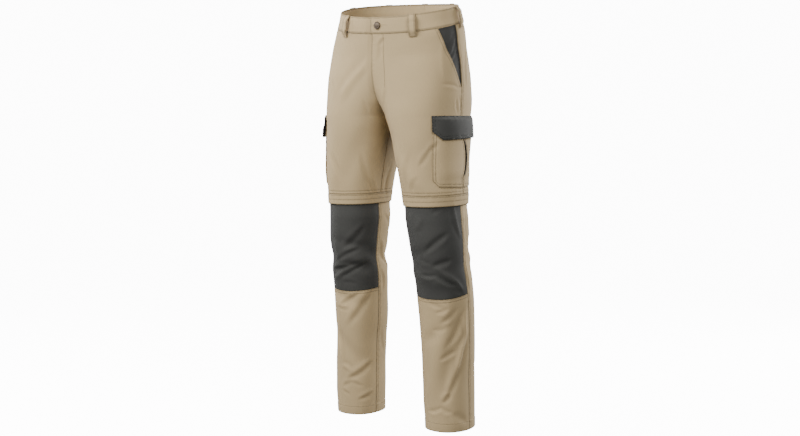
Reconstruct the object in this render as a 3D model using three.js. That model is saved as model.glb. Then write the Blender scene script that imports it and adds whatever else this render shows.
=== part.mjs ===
// Convertible zip-off trousers, filled out as they are worn, in millimetres.
// +Z is up, the front faces -Y and the wearer's left side is +X.
// The origin is the centre of the waist, where the wearer's body holds the garment.
//
// One form carries every piece. A place on it is a side (1 left, -1 right), a level
// (the height before the waist is tipped forwards) and a reach across the cloth,
// measured from the outseam: negative towards the front, positive towards the back.
import * as THREE from "three";

// Driving sizes
const CLOTH = 1.5; // wall of one layer of canvas
const BAND_WALL = 2.2; // waistband, folded cloth with an interlining
const SEAM = 0.3; // gap between pieces that are sewn together
const LAP = CLOTH + SEAM; // step from one layer to the next
const WAIST_TOP = 18;
const WAISTBAND_HEIGHT = 40;
const WAIST_SEAM = WAIST_TOP - WAISTBAND_HEIGHT;
const WAIST_TIP = 0.266; // rise of the waist per millimetre towards the back
const WAIST_SAG = 0.0005; // how that rise eases off towards the back, per millimetre squared
const WAIST_ROLL = -0.072; // rise per millimetre towards the wearer's left
const TIP_FADE = 180; // height over which the waist's tip fades out
const CROTCH = -250;
const CROTCH_RISE = 165; // height over which the two halves part into legs
const CROTCH_CURVE = 1.3;
const CROTCH_LEVEL_STEPS = 8;
const INSEAM_FORWARD = THREE.MathUtils.degToRad(9);
const INSEAM_TURN = 60; // height over which the inseam moves to the front
const ZIP_SEAM = -441; // where the storm flap is sewn to the shorts
const SHORTS_HEM = -467;
const ZIP_TOP = -441.3;
const ZIP_BOTTOM = -462;
const ZIP_TIP = 0.05; // rise of the zip's seam per millimetre towards the back
const ZIP_TIP_FADE = 70; // height over which that rise fades out
const ZIP_TIP_FRONT = -80; // where that rise starts
const ZIP_WALL = 1;
const ZIP_LIFT = -LAP;
const LEG_TOP = -452;
const LEG_INSET = -(LAP + ZIP_WALL + SEAM);
const LEG_INSET_FADE = 35;
const KNEE_SEAM = -676;
const KNEE_DIP = { 1: { low: -1, drop: 12 }, [-1]: { low: 3, drop: 9 } }; // of its ends and its middle
const LEG_HEM = -1005;
const HEM_DEPTH = 21;
const HEM_FOLD = 0.7; // how far the turned-up hem stands proud

const TAN = new THREE.Color(0.55, 0.46, 0.34);
const GREY = new THREE.Color(0.075, 0.075, 0.07);
const BRONZE = new THREE.Color(0.2, 0.15, 0.11);
const TAPE = new THREE.Color(0.42, 0.36, 0.27);
const cloth = (color) => () => new THREE.MeshStandardMaterial({ color, roughness: 0.88, metalness: 0 });
const tanCanvas = cloth(TAN);
const greyCanvas = cloth(GREY);
const zipTape = cloth(TAPE);
const buttonMetal = () => new THREE.MeshStandardMaterial({ color: BRONZE, roughness: 0.4, metalness: 0.9 });

// The form: a row for each section. level, then the reach from the middle to the inner
// and the outer side, the front, the back and the widest place along Y, and how square it is.
const COLUMNS = ["level", "inner", "outer", "front", "back", "mid", "square"];
const SECTIONS = {
  1: [
    [40, 0.2, 161, -101, 114, 0, 2],
    [0, 0.2, 166, -103, 117, 0, 2.05],
    [-40, -2, 176, -101, 123, 0, 2.25],
    [-80, -4, 179, -100, 129, 0, 2.3],
    [-120, -4, 182, -100, 133, 1, 2.35],
    [-160, -4, 182.5, -100, 136, 2, 2.4],
    [-200, -4, 182, -101, 135, 2, 2.4],
    [-250, -4, 179.5, -104, 126, 3, 2.3],
    [-260, -1, 180, -104, 123, 3, 2.25],
    [-300, 14, 181, -103, 111, 2, 2.2],
    [-350, 27, 180, -100, 98, 0, 2.2],
    [-400, 38, 183.5, -97, 88, -2, 2.2],
    [-440, 44, 193, -92, 82, -3, 2.2],
    [-467, 49, 193, -90, 79, -4, 2.2],
    [-500, 55, 195, -88, 75, -5, 2.2],
    [-540, 62, 200, -86, 70, -6, 2.2],
    [-570, 67, 202, -84, 67, -7, 2.2],
    [-600, 72, 202, -79, 66, -5, 2.2],
    [-640, 75, 207, -73, 69, -2, 2.2],
    [-700, 79, 210, -66, 73, 4, 2.2],
    [-760, 83, 210, -62, 77, 8, 2.2],
    [-820, 87, 209, -60, 78, 9, 2.2],
    [-880, 91, 208, -59, 76, 9, 2.2],
    [-940, 95, 211, -59, 73, 7, 2.2],
    [-1005, 101, 213, -60, 70, 5, 2.2],
  ],
  [-1]: [
    [40, 0.2, 158, -101, 114, 0, 2],
    [0, 0.2, 164, -103, 117, 0, 2.05],
    [-40, 2.2, 174.5, -101, 123, 0, 2.25],
    [-80, 4.2, 186, -100, 129, 0, 2.3],
    [-120, 4.2, 192, -100, 133, 1, 2.35],
    [-160, 4.2, 195, -100, 136, 2, 2.4],
    [-200, 4.2, 194, -101, 135, 2, 2.4],
    [-250, 4.2, 193, -104, 126, 3, 2.3],
    [-260, 6, 192.3, -104, 123, 3, 2.25],
    [-300, 17, 191.3, -103, 111, 2, 2.2],
    [-350, 27, 191, -100, 98, 0, 2.2],
    [-400, 35, 190.8, -97, 88, -2, 2.2],
    [-440, 40, 191, -92, 82, -3, 2.2],
    [-467, 43, 190, -90, 79, -4, 2.2],
    [-500, 44, 186, -88, 75, -5, 2.2],
    [-540, 48, 186, -86, 70, -6, 2.2],
    [-570, 51, 184, -84, 67, -7, 2.2],
    [-600, 55, 179, -79, 64, -5, 2.2],
    [-640, 51, 187, -73, 69, -2, 2.2],
    [-700, 55, 187, -66, 73, 4, 2.2],
    [-760, 59, 185, -62, 77, 8, 2.2],
    [-820, 65, 181, -60, 78, 9, 2.2],
    [-880, 66, 184, -59, 76, 9, 2.2],
    [-940, 65, 184, -59, 73, 7, 2.2],
    [-1005, 66, 176, -60, 70, 5, 2.2],
  ],
};

// The largest folds: a soft trough or ridge from one place to another on the cloth.
const FOLD_COLUMNS = ["side", "fromReach", "fromLevel", "toReach", "toLevel", "depth", "width"];
const FOLDS = [
  [-1, -190, -575, -110, -560, -4, 13],
  [-1, -190, -600, -95, -610, 4, 13],
  [-1, -185, -632, -120, -612, -4.5, 12],
  [1, -150, -585, -70, -560, -3, 14],
  [1, -170, -625, -60, -650, 3.5, 15],
  [1, -30, -700, -75, -920, -5, 17],
  [1, -58, -690, -105, -900, 3, 16],
  [-1, -150, -720, -70, -690, -3.5, 16],
  [-1, -165, -880, -60, -790, -3.5, 17],
  [1, -120, -790, -60, -740, -3, 15],
  [1, -200, -330, -110, -420, 3, 20],
  [-1, -215, -300, -150, -420, -3, 20],
  [1, 40, -560, 160, -600, -5, 15],
  [1, 50, -595, 150, -570, 4, 14],
  [-1, 40, -560, 160, -600, -5, 15],
  [-1, 50, -595, 150, -570, 4, 14],
  [1, 110, -305, 190, -272, -3.5, 20],
  [-1, 110, -305, 190, -272, -3.5, 20],
];

// Names of the columns become the keys of a row.
const named = (columns, row) => Object.fromEntries(columns.map((key, i) => [key, row[i]]));
const sectionRows = {
  1: SECTIONS[1].map((row) => named(COLUMNS, row)),
  [-1]: SECTIONS[-1].map((row) => named(COLUMNS, row)),
};
const folds = FOLDS.map((row) => named(FOLD_COLUMNS, row));

// 0 below 0, 1 above 1 and a smooth step between.
function ease(x) {
  const c = Math.min(1, Math.max(0, x));
  return c * c * (3 - 2 * c);
}

// A slope between two others that never lets the curve swing past a row of the table.
const calm = (m, n) => (m * n > 0 ? (2 * m * n) / (m + n) : 0);

// The section at any level, on a smooth curve through the rows of the table.
function sectionAt(side, level) {
  const rows = sectionRows[side];
  let i = rows.findIndex((row) => row.level <= level);
  i = Math.min(rows.length - 1, Math.max(1, i < 0 ? rows.length - 1 : i));
  const [a, b] = [rows[i - 1], rows[i]];
  const p = rows[Math.max(0, i - 2)];
  const q = rows[Math.min(rows.length - 1, i + 1)];
  const span = b.level - a.level;
  const h = Math.min(1.2, Math.max(-0.2, (level - a.level) / span));
  const found = {};
  for (const key of COLUMNS.slice(1)) {
    const slope = (lower, upper) => (upper[key] - lower[key]) / (upper.level - lower.level || 1);
    const rise = b[key] - a[key];
    const mA = span * calm(slope(p, a), slope(a, b));
    const mB = span * calm(slope(a, b), slope(b, q));
    found[key] = a[key] + h * (mA + h * (3 * rise - 2 * mA - mB + h * (mA + mB - 2 * rise)));
  }
  return found;
}

// How far round its own ring each half reaches: a quarter turn each way at the waist, a half turn in a leg.
function reachAngle(level) {
  if (level <= CROTCH) return Math.PI;
  if (level >= CROTCH + CROTCH_RISE) return Math.PI / 2;
  return Math.acos(-((1 - (level - CROTCH) / CROTCH_RISE) ** CROTCH_CURVE));
}
const roundness = (angle, square) =>
  (Math.abs(Math.cos(angle)) ** square + Math.abs(Math.sin(angle)) ** square) ** (-1 / square);
function heightAt(level, x, y) {
  const waist = ease((level + 200) / TIP_FADE) * (WAIST_TIP * y - WAIST_SAG * y * y + WAIST_ROLL * x);
  const zip = ZIP_TIP * Math.exp(-(((level - ZIP_SEAM) / ZIP_TIP_FADE) ** 2)) * (y - ZIP_TIP_FRONT);
  return level + waist + zip;
}
const inseamTurn = (level) => INSEAM_FORWARD * ease((CROTCH - level) / INSEAM_TURN);

function formPoint(side, level, angle) {
  const s = sectionAt(side, level);
  const end = reachAngle(level);
  const half = (s.outer - s.inner) / (1 - Math.cos(end) * roundness(end, s.square));
  const r = roundness(angle, s.square);
  const depth = Math.sin(angle) < 0 ? s.mid - s.front : s.back - s.mid;
  const y = s.mid + depth * Math.sin(angle) * r;
  const x = side * (s.outer - half + half * Math.cos(angle) * r);
  return new THREE.Vector3(x, y, heightAt(level, x, y));
}

function formNormal(side, level, angle) {
  const [da, dl] = [0.004, 0.5];
  const across = formPoint(side, level, angle + da).sub(formPoint(side, level, angle - da));
  const up = formPoint(side, level + dl, angle).sub(formPoint(side, level - dl, angle));
  return across.cross(up).multiplyScalar(side).normalize();
}

// The angles at even steps of reach round one level, kept for each level that is asked for.
const RING_STEPS = 240;
const RING_SPARE = 0.35; // radians past each end, for laps
const rings = new Map();
function ringAt(side, level) {
  const key = side + "/" + level.toFixed(3);
  if (rings.has(key)) return rings.get(key);
  const turn = inseamTurn(level);
  const [first, last] = [-(reachAngle(level) - turn), reachAngle(level) + turn];
  const arm = (end, spare) => {
    const list = [{ angle: 0, reach: 0 }];
    let before = formPoint(side, level, 0);
    for (let i = 1; i <= RING_STEPS; i++) {
      const angle = ((end + spare) * i) / RING_STEPS;
      const point = formPoint(side, level, angle);
      list.push({ angle, reach: list[i - 1].reach + Math.sign(end) * point.distanceTo(before) });
      before = point;
    }
    return list;
  };
  const steps = [...arm(first, -RING_SPARE).slice(1).reverse(), ...arm(last, RING_SPARE)];
  const reachOf = (angle) => {
    const i = Math.max(1, steps.findIndex((step) => step.angle >= angle));
    const [a, b] = [steps[i - 1], steps[i]];
    return a.reach + ((b.reach - a.reach) * (angle - a.angle)) / (b.angle - a.angle);
  };
  const angleOf = (reach) => {
    let i = steps.findIndex((step) => step.reach >= reach);
    i = i < 1 ? (i < 0 ? steps.length - 1 : 1) : i;
    const [a, b] = [steps[i - 1], steps[i]];
    return a.angle + ((b.angle - a.angle) * (reach - a.reach)) / (b.reach - a.reach);
  };
  const ring = { angleOf, front: reachOf(first), back: reachOf(last) };
  rings.set(key, ring);
  return ring;
}

// How far the folds push the cloth out, in millimetres. They die out near the seams that meet at the crotch.
function foldAt(side, level, reach) {
  let sum = 0;
  for (const fold of folds) {
    if (fold.side !== side) continue;
    const [dr, dl] = [fold.toReach - fold.fromReach, fold.toLevel - fold.fromLevel];
    const along = ((reach - fold.fromReach) * dr + (level - fold.fromLevel) * dl) / (dr * dr + dl * dl);
    const off = Math.abs((reach - fold.fromReach) * dl - (level - fold.fromLevel) * dr) / Math.hypot(dr, dl);
    const ends = ease((along + 0.25) / 0.5) * ease((1.25 - along) / 0.5);
    sum += fold.depth * ends * Math.exp(-((off / fold.width) ** 2));
  }
  const ring = ringAt(side, level);
  const clear = Math.min(reach - ring.front, ring.back - reach);
  return sum * ease(clear / 30);
}

// A point of the cloth, lifted off the form along its normal.
function place(side, level, reach, lift) {
  const angle = ringAt(side, level).angleOf(reach);
  const out = lift + foldAt(side, level, reach);
  return formPoint(side, level, angle).addScaledVector(formNormal(side, level, angle), out);
}

// The outseam lies a little behind the widest place, from the pocket's end to the zip.
const OUTSEAM_BACK = 10;
const outseam = (level) =>
  OUTSEAM_BACK * ease((WAIST_SEAM - level) / 160) * (1 - ease((-400 - level) / 100));

// A closed wall from a grid: at(i, j) gives its outer and inner points. A ring closes on itself across i.
function wall(name, material, columns, rows, at, ring = false) {
  const across = ring ? columns : columns + 1;
  const [outer, inner] = [[], []];
  for (let j = 0; j <= rows; j++) {
    for (let i = 0; i < across; i++) {
      const [o, n] = at(i, j);
      outer.push(o);
      inner.push(n);
    }
  }
  const points = [...outer, ...inner];
  const faces = [];
  const quad = (a, b, c, d) => faces.push(a, b, c, a, c, d);
  const at0 = (i, j) => j * across + (i % across);
  const at1 = (i, j) => outer.length + at0(i, j);
  for (let j = 0; j < rows; j++) {
    for (let i = 0; i < columns; i++) {
      quad(at0(i, j), at0(i + 1, j), at0(i + 1, j + 1), at0(i, j + 1));
      quad(at1(i, j), at1(i, j + 1), at1(i + 1, j + 1), at1(i + 1, j));
    }
    if (!ring) {
      quad(at0(0, j), at0(0, j + 1), at1(0, j + 1), at1(0, j));
      quad(at0(columns, j), at1(columns, j), at1(columns, j + 1), at0(columns, j + 1));
    }
  }
  for (let i = 0; i < columns; i++) {
    quad(at0(i, 0), at1(i, 0), at1(i + 1, 0), at0(i + 1, 0));
    quad(at0(i, rows), at0(i + 1, rows), at1(i + 1, rows), at1(i, rows));
  }
  let volume = 0;
  for (let k = 0; k < faces.length; k += 3) {
    const [a, b, c] = [points[faces[k]], points[faces[k + 1]], points[faces[k + 2]]];
    volume += a.dot(b.clone().cross(c));
  }
  if (volume < 0) faces.reverse();
  const geometry = new THREE.BufferGeometry();
  geometry.setAttribute("position", new THREE.Float32BufferAttribute(points.flatMap((p) => p.toArray()), 3));
  geometry.setIndex(faces);
  geometry.computeVertexNormals();
  const mesh = new THREE.Mesh(geometry, material());
  mesh.name = name;
  return mesh;
}

// A panel between two edges. edges(level) gives its first and last reach, levels(share) its rows' heights.
function panel(name, material, side, columns, levels, edges, options = {}) {
  const { lift = () => 0, thick = CLOTH, levelAt = (level) => level, stops = [] } = options;
  return wall(name, material, columns + stops.length, levels.length - 1, (i, j) => {
    const share = Math.max(0, i - stops.length) / columns;
    const level = levelAt(levels[j], share);
    const [first, last] = edges(level, levels[j]);
    const start = stops.length ? first + stops[stops.length - 1] : first;
    const early = i < stops.length ? first + (i > 0 ? stops[i - 1] : 0) : null;
    const reach = early ?? start + (last - start) * share;
    const out = lift(level, reach);
    return [place(side, level, reach, out), place(side, level, reach, out - thick)];
  });
}

const FRONT_COLUMNS = 12;
const BACK_COLUMNS = 12;
function spread(top, bottom, steps) {
  return Array.from({ length: steps + 1 }, (_, i) => top + ((bottom - top) * i) / steps);
}
const sideName = (side) => (side > 0 ? "left" : "right");
const legInset = (level) => LEG_INSET * (1 - ease((SHORTS_HEM - level) / LEG_INSET_FADE));

// Levels of the shorts: closer together where the crotch curve turns under.
const crotchLevels = Array.from(
  { length: CROTCH_LEVEL_STEPS },
  (_, i) => CROTCH + CROTCH_RISE * (1 - (i + 1) / CROTCH_LEVEL_STEPS) ** 2,
);
const shortsLevels = [
  ...spread(WAIST_SEAM - SEAM, CROTCH + CROTCH_RISE, 4),
  ...crotchLevels,
  ...spread(CROTCH - 12, ZIP_SEAM + SEAM, 8),
];

// Slant pocket: the front's edge runs from the waist seam to the outseam and the facing shows behind it.
const POCKET_TOP_REACH = -54;
const POCKET_END = -183;
const POCKET_CURVE = 0.85;
const POCKET_TUCK = 9;
const FACING_LIFT = -4;
const FACING_COLUMNS = 4;
function pocketEdge(level) {
  const share = Math.max(0, (level - POCKET_END) / (WAIST_SEAM - POCKET_END)) ** POCKET_CURVE;
  return outseam(level) + (POCKET_TOP_REACH - outseam(level)) * share;
}

// Fly: the right front passes under the left one down to the end of the opening.
const FLY_END = -190;
const FLY_UNDERLAP = 8;
const FLY_FADE = 24;
const flyShare = (level) => 1 - ease((FLY_END - level) / FLY_FADE);
const flyUnderlap = (level) => FLY_UNDERLAP * flyShare(level - FLY_FADE);
const pastFront = (side, level, reach) => reach - ringAt(side, level).front;

function frontPanel(side) {
  const stops = side < 0 ? [FLY_UNDERLAP + 3, FLY_UNDERLAP + 14] : [];
  const edges = (level) => {
    const under = side < 0 ? flyUnderlap(level) : 0;
    return [ringAt(side, level).front + SEAM / 2 - under, pocketEdge(level) - SEAM / 2];
  };
  const lift = (level, reach) => {
    if (side > 0) return 0;
    return -(LAP + 3 * SEAM) * flyShare(level) * (1 - ease((pastFront(side, level, reach) - 3) / 11));
  };
  const name = "front_" + sideName(side);
  return panel(name, tanCanvas, side, FRONT_COLUMNS, shortsLevels, edges, { lift, stops });
}

function backPanel(side) {
  const edges = (level) => [outseam(level) + SEAM / 2, ringAt(side, level).back - SEAM / 2];
  return panel("back_" + sideName(side), tanCanvas, side, BACK_COLUMNS, shortsLevels, edges);
}

function pocketFacing(side) {
  const levels = spread(WAIST_SEAM - SEAM, POCKET_END + 4, 9);
  const edges = (level) => [pocketEdge(level) - POCKET_TUCK, outseam(level) + 4];
  const lift = () => FACING_LIFT;
  return panel("pocket_facing_" + sideName(side), greyCanvas, side, FACING_COLUMNS, levels, edges, { lift });
}

// Waistband: two halves sewn at the centre back. The right one carries the button and passes under the left.
const BAND_LIFT = 0.7;
const BAND_OVERLAP = 5;
const BAND_UNDERLAP = 32;
const BAND_COLUMNS = 22;
function waistband(side) {
  const levels = spread(WAIST_TOP, WAIST_SEAM, 2);
  const edges = (level) => {
    const ring = ringAt(side, level);
    return [ring.front + SEAM / 2 - (side > 0 ? BAND_OVERLAP : BAND_UNDERLAP), ring.back - SEAM / 2];
  };
  const lift = (level, reach) => {
    if (side > 0) return BAND_LIFT;
    return BAND_LIFT - (BAND_WALL + 2 * SEAM) * (1 - ease((pastFront(side, level, reach) - 7) / 12));
  };
  const stops = side < 0 ? [BAND_UNDERLAP + 6, BAND_UNDERLAP + 13, BAND_UNDERLAP + 20] : [];
  const options = { lift, thick: BAND_WALL, stops };
  return panel("waistband_" + sideName(side), tanCanvas, side, BAND_COLUMNS, levels, edges, options);
}

// A belt loop stands off the waistband between its two sewn ends.
const LOOP = { width: 18, top: WAIST_TOP + 1, bottom: WAIST_SEAM - 12, wall: 1.8, rise: 7, steps: 10 };
// It sits at a share of the way from the outseam to the front (negative) or the back of the ring.
function beltLoop(name, side, ringShare) {
  const base = BAND_LIFT + SEAM;
  return wall(name, tanCanvas, 1, LOOP.steps, (i, j) => {
    const share = j / LOOP.steps;
    const level = LOOP.top + (LOOP.bottom - LOOP.top) * share;
    const arch = ease(share / 0.28) * ease((1 - share) / 0.28);
    const ring = ringAt(side, level);
    const centre = ringShare < 0 ? -ringShare * ring.front : ringShare * ring.back;
    const across = centre + (i - 0.5) * LOOP.width;
    const lift = base + LOOP.rise * arch;
    return [place(side, level, across, lift + LOOP.wall), place(side, level, across, lift)];
  });
}
const LOOPS = [
  ["belt_loop_front_left", 1, -0.51],
  ["belt_loop_front_right", -1, -0.59],
  ["belt_loop_side_left", 1, 0.09],
  ["belt_loop_side_right", -1, 0.09],
  ["belt_loop_back_left", 1, 0.54],
  ["belt_loop_back_right", -1, 0.54],
  ["belt_loop_centre_back", 1, 1],
];

// Shank button: a shallow dome on the overlap of the waistband.
const BUTTON = { radius: 9, height: 3.6, pastFront: 17, level: -2 };
const BUTTON_PROFILE = [[0, 0], [0.82, 0], [1, 0.3], [1, 0.6], [0.86, 0.86], [0.7, 0.8], [0.4, 1], [0, 1]];
function button() {
  const outline = BUTTON_PROFILE.map(([x, y]) => new THREE.Vector2(x * BUTTON.radius, y * BUTTON.height));
  const geometry = new THREE.LatheGeometry(outline, 20);
  const mesh = new THREE.Mesh(geometry, buttonMetal());
  mesh.name = "button";
  const ring = ringAt(1, BUTTON.level);
  const reach = ring.front + BUTTON.pastFront;
  const lift = BAND_LIFT + SEAM;
  const normal = formNormal(1, BUTTON.level, ring.angleOf(reach));
  mesh.position.copy(place(1, BUTTON.level, reach, lift));
  mesh.quaternion.setFromUnitVectors(new THREE.Vector3(0, 1, 0), normal);
  return mesh;
}

// Storm flap that hides the zip, and the zip's tape with its coil, each a ring round the leg.
function legRing(name, material, side, levels, lift, thick) {
  return wall(name, material, FRONT_COLUMNS + BACK_COLUMNS, levels.length - 1, (i, j) => {
    const ring = ringAt(side, levels[j]);
    const seam = outseam(levels[j]);
    const ahead = ring.front + ((seam - ring.front) * i) / FRONT_COLUMNS;
    const behind = seam + ((ring.back - seam) * (i - FRONT_COLUMNS)) / BACK_COLUMNS;
    const reach = i < FRONT_COLUMNS ? ahead : behind;
    return [place(side, levels[j], reach, lift), place(side, levels[j], reach, lift - thick)];
  }, true);
}
const FLAP_STEP = 0.5;
function stormFlap(side) {
  const levels = spread(ZIP_SEAM, SHORTS_HEM, 2);
  return legRing("storm_flap_" + sideName(side), tanCanvas, side, levels, FLAP_STEP, CLOTH);
}
function zip(side) {
  return legRing("zip_" + sideName(side), zipTape, side, [ZIP_TOP, ZIP_BOTTOM], ZIP_LIFT, ZIP_WALL);
}

// Zip-off legs: a grey knee panel and a tan shin panel in front, one long panel behind.
// The seam between them dips in the middle, and the rows near it follow that dip.
const dipAt = (side) => (level, share) => {
  const { low, drop } = KNEE_DIP[side];
  return level - (low + drop * Math.sin(Math.PI * share)) * (1 - ease(Math.abs(level - KNEE_SEAM) / 60));
};
const frontEdges = (side) => (level) => [ringAt(side, level).front + SEAM / 2, outseam(level) - SEAM / 2];
const hemFold = (level) => (level < LEG_HEM + HEM_DEPTH ? HEM_FOLD : 0);
const hemLevels = [LEG_HEM + HEM_DEPTH + 1, LEG_HEM + HEM_DEPTH - 1, LEG_HEM];

function kneePanel(side) {
  const levels = [LEG_TOP, SHORTS_HEM, ...spread(SHORTS_HEM - 17, KNEE_SEAM, 13)];
  return panel("knee_panel_" + sideName(side), greyCanvas, side, FRONT_COLUMNS, levels, frontEdges(side), {
    lift: legInset,
    levelAt: dipAt(side),
  });
}

function shinPanel(side) {
  const levels = [...spread(KNEE_SEAM - SEAM, hemLevels[0], 13), ...hemLevels.slice(1)];
  return panel("shin_panel_" + sideName(side), tanCanvas, side, FRONT_COLUMNS, levels, frontEdges(side), {
    lift: hemFold,
    levelAt: dipAt(side),
  });
}

function calfPanel(side) {
  const levels = [LEG_TOP, SHORTS_HEM, ...spread(SHORTS_HEM - 17, hemLevels[0], 21), ...hemLevels.slice(1)];
  const edges = (level) => [outseam(level) + SEAM / 2, ringAt(side, level).back - SEAM / 2];
  return panel("calf_panel_" + sideName(side), tanCanvas, side, BACK_COLUMNS, levels, edges, {
    lift: (level) => legInset(level) + hemFold(level),
  });
}

// Cargo pocket over the outseam: two panels that part at an upright slit, under a grey flap.
const CARGO = { half: 80, top: -264, bottom: -421, corner: 14, cut: 16, drop: 8, mouth: -240, base: 0.8 };
const CARGO_TILT = 0.03; // rise per millimetre towards the back
const SLIT = { reach: 6, bow: 17, top: -308, bottom: -404, gape: 3.2 };
const FLAP = { half: 84, root: -253, side: -290, point: -311, rise: 7, chamfer: 24, clear: 0.8, wall: 2 };
// The right side is carried a little higher and flatter, and its flap stands off more.
const CARGO_SIDE = {
  1: { raise: 0, flapRaise: 0, proud: 3, puff: 8 },
  [-1]: { raise: 4, flapRaise: 10, proud: 6.5, puff: 4.6 },
};
// The pocket's lower edge: it falls towards the middle of the side, and both corners are cut off.
function cargoBottom(reach) {
  const fall = Math.min(1, (CARGO.half + reach) / CARGO.half);
  const corner = Math.max(0, Math.abs(reach) - (CARGO.half - CARGO.corner)) / CARGO.corner;
  return CARGO.bottom - CARGO.drop * fall + CARGO.cut * corner;
}
// How far the pocket stands off the leg: nothing at its sewn edges, most at the middle.
function cargoPuff(side, level, reach) {
  const flank = Math.min(1, (CARGO.half - Math.abs(reach)) / 42);
  const foot = Math.min(1, (level - cargoBottom(reach)) / 42);
  const head = Math.min(1, (CARGO.mouth - level) / 45);
  const rise = (share) => Math.sin((Math.PI / 2) * Math.max(0, share));
  return CARGO_SIDE[side].puff * rise(flank) * rise(foot) * rise(head);
}
function cargoSlit(level) {
  const share = Math.min(1, Math.max(0, (SLIT.top - level) / (SLIT.top - SLIT.bottom)));
  const bow = Math.sin(Math.PI * share);
  return { middle: SLIT.reach + SLIT.bow * bow, gape: SLIT.gape * bow };
}
const cargoTilt = (reach) => CARGO_TILT * (reach + CARGO.half);
function cargoPanel(side, part) {
  const front = part === "front";
  const [columns, steps] = [7, 10];
  return wall("cargo_pocket_" + part + "_" + sideName(side), tanCanvas, columns, steps, (i, j) => {
    const slit = cargoSlit(CARGO.top + (cargoBottom(SLIT.reach) - CARGO.top) * (j / steps));
    const slitEdge = slit.middle + (front ? -1 : 1) * (SEAM / 2 + slit.gape);
    const [first, last] = front ? [-CARGO.half, slitEdge] : [slitEdge, CARGO.half];
    const reach = first + (last - first) * (i / columns);
    const level = CARGO.top + (cargoBottom(reach) - CARGO.top) * (j / steps);
    const inner = CARGO.base + cargoPuff(side, level, reach);
    const height = level + cargoTilt(reach) + CARGO_SIDE[side].raise;
    return [place(side, height, reach, inner + CLOTH), place(side, height, reach, inner)];
  });
}

// The flap's lower edge: it rises a little towards the back, and both corners are cut off.
function flapEdge(reach) {
  const chamfer = Math.min(1, (FLAP.half - Math.abs(reach)) / FLAP.chamfer);
  const point = FLAP.point + (FLAP.rise * (FLAP.half + reach)) / (2 * FLAP.half);
  return FLAP.side + (point - FLAP.side) * chamfer;
}

function cargoFlap(side) {
  const [columns, steps] = [14, 5];
  const { raise, flapRaise, proud } = CARGO_SIDE[side];
  return wall("cargo_flap_" + sideName(side), greyCanvas, columns, steps, (i, j) => {
    const reach = -FLAP.half + (2 * FLAP.half * i) / columns;
    const edge = flapEdge(reach);
    const share = j / steps;
    const level = FLAP.root + (edge - FLAP.root) * share;
    const under = Math.min(level + flapRaise - raise, CARGO.top);
    const over = (CLOTH + cargoPuff(side, under, reach) + FLAP.clear) * Math.min(1, share * steps);
    const lift = CARGO.base + over + proud * share ** 2;
    const height = level + cargoTilt(reach) + flapRaise;
    return [place(side, height, reach, lift + FLAP.wall), place(side, height, reach, lift)];
  });
}

const trousers = new THREE.Group();
for (const side of [1, -1]) {
  trousers.add(frontPanel(side), backPanel(side), pocketFacing(side), waistband(side));
  trousers.add(stormFlap(side), zip(side), kneePanel(side), shinPanel(side), calfPanel(side));
  trousers.add(cargoPanel(side, "front"), cargoPanel(side, "rear"), cargoFlap(side));
}
for (const [name, side, ringShare] of LOOPS) trousers.add(beltLoop(name, side, ringShare));
trousers.add(button());

export default trousers;
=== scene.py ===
"""Convertible zip-off trousers, filled out as they are worn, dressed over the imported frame.

A place on the cloth is a side (1 the wearer's left, -1 the right), a level (the height before the
waist is tipped forwards) and a reach round the cloth from the outseam, negative towards the front.
Levels, reaches and lifts off the cloth are in millimetres, and become metres when a vertex is placed.
"""

import math

import bmesh
import bpy
import numpy as np
from mathutils import Matrix, Vector


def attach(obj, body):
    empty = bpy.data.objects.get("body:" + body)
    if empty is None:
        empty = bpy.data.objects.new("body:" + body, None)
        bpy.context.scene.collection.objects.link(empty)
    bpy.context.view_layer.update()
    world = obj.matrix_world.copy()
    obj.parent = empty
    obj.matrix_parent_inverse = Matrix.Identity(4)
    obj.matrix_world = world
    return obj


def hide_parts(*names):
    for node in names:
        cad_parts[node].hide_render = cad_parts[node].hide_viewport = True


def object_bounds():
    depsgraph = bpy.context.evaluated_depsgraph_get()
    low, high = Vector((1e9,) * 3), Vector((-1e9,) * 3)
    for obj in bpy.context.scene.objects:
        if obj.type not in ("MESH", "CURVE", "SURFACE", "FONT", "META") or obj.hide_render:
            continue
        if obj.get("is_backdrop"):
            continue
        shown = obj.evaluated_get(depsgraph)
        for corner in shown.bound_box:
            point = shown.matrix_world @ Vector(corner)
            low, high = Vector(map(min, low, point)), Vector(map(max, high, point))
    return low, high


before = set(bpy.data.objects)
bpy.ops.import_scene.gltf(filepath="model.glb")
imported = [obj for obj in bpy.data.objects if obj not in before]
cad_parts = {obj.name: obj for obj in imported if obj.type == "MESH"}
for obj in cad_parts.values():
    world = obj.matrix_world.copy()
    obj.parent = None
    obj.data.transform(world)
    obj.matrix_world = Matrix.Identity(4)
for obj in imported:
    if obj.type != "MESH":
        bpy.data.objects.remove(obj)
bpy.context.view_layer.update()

bl_info = {
    "name": "Zip-off trousers",
    "version": (1, 0, 0),
    "blender": (4, 5, 0),
    "location": "3D View > Sidebar > Trousers",
    "description": "Convertible zip-off trousers, a piece at a time",
    "category": "Object",
}

MM = 0.001

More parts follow.
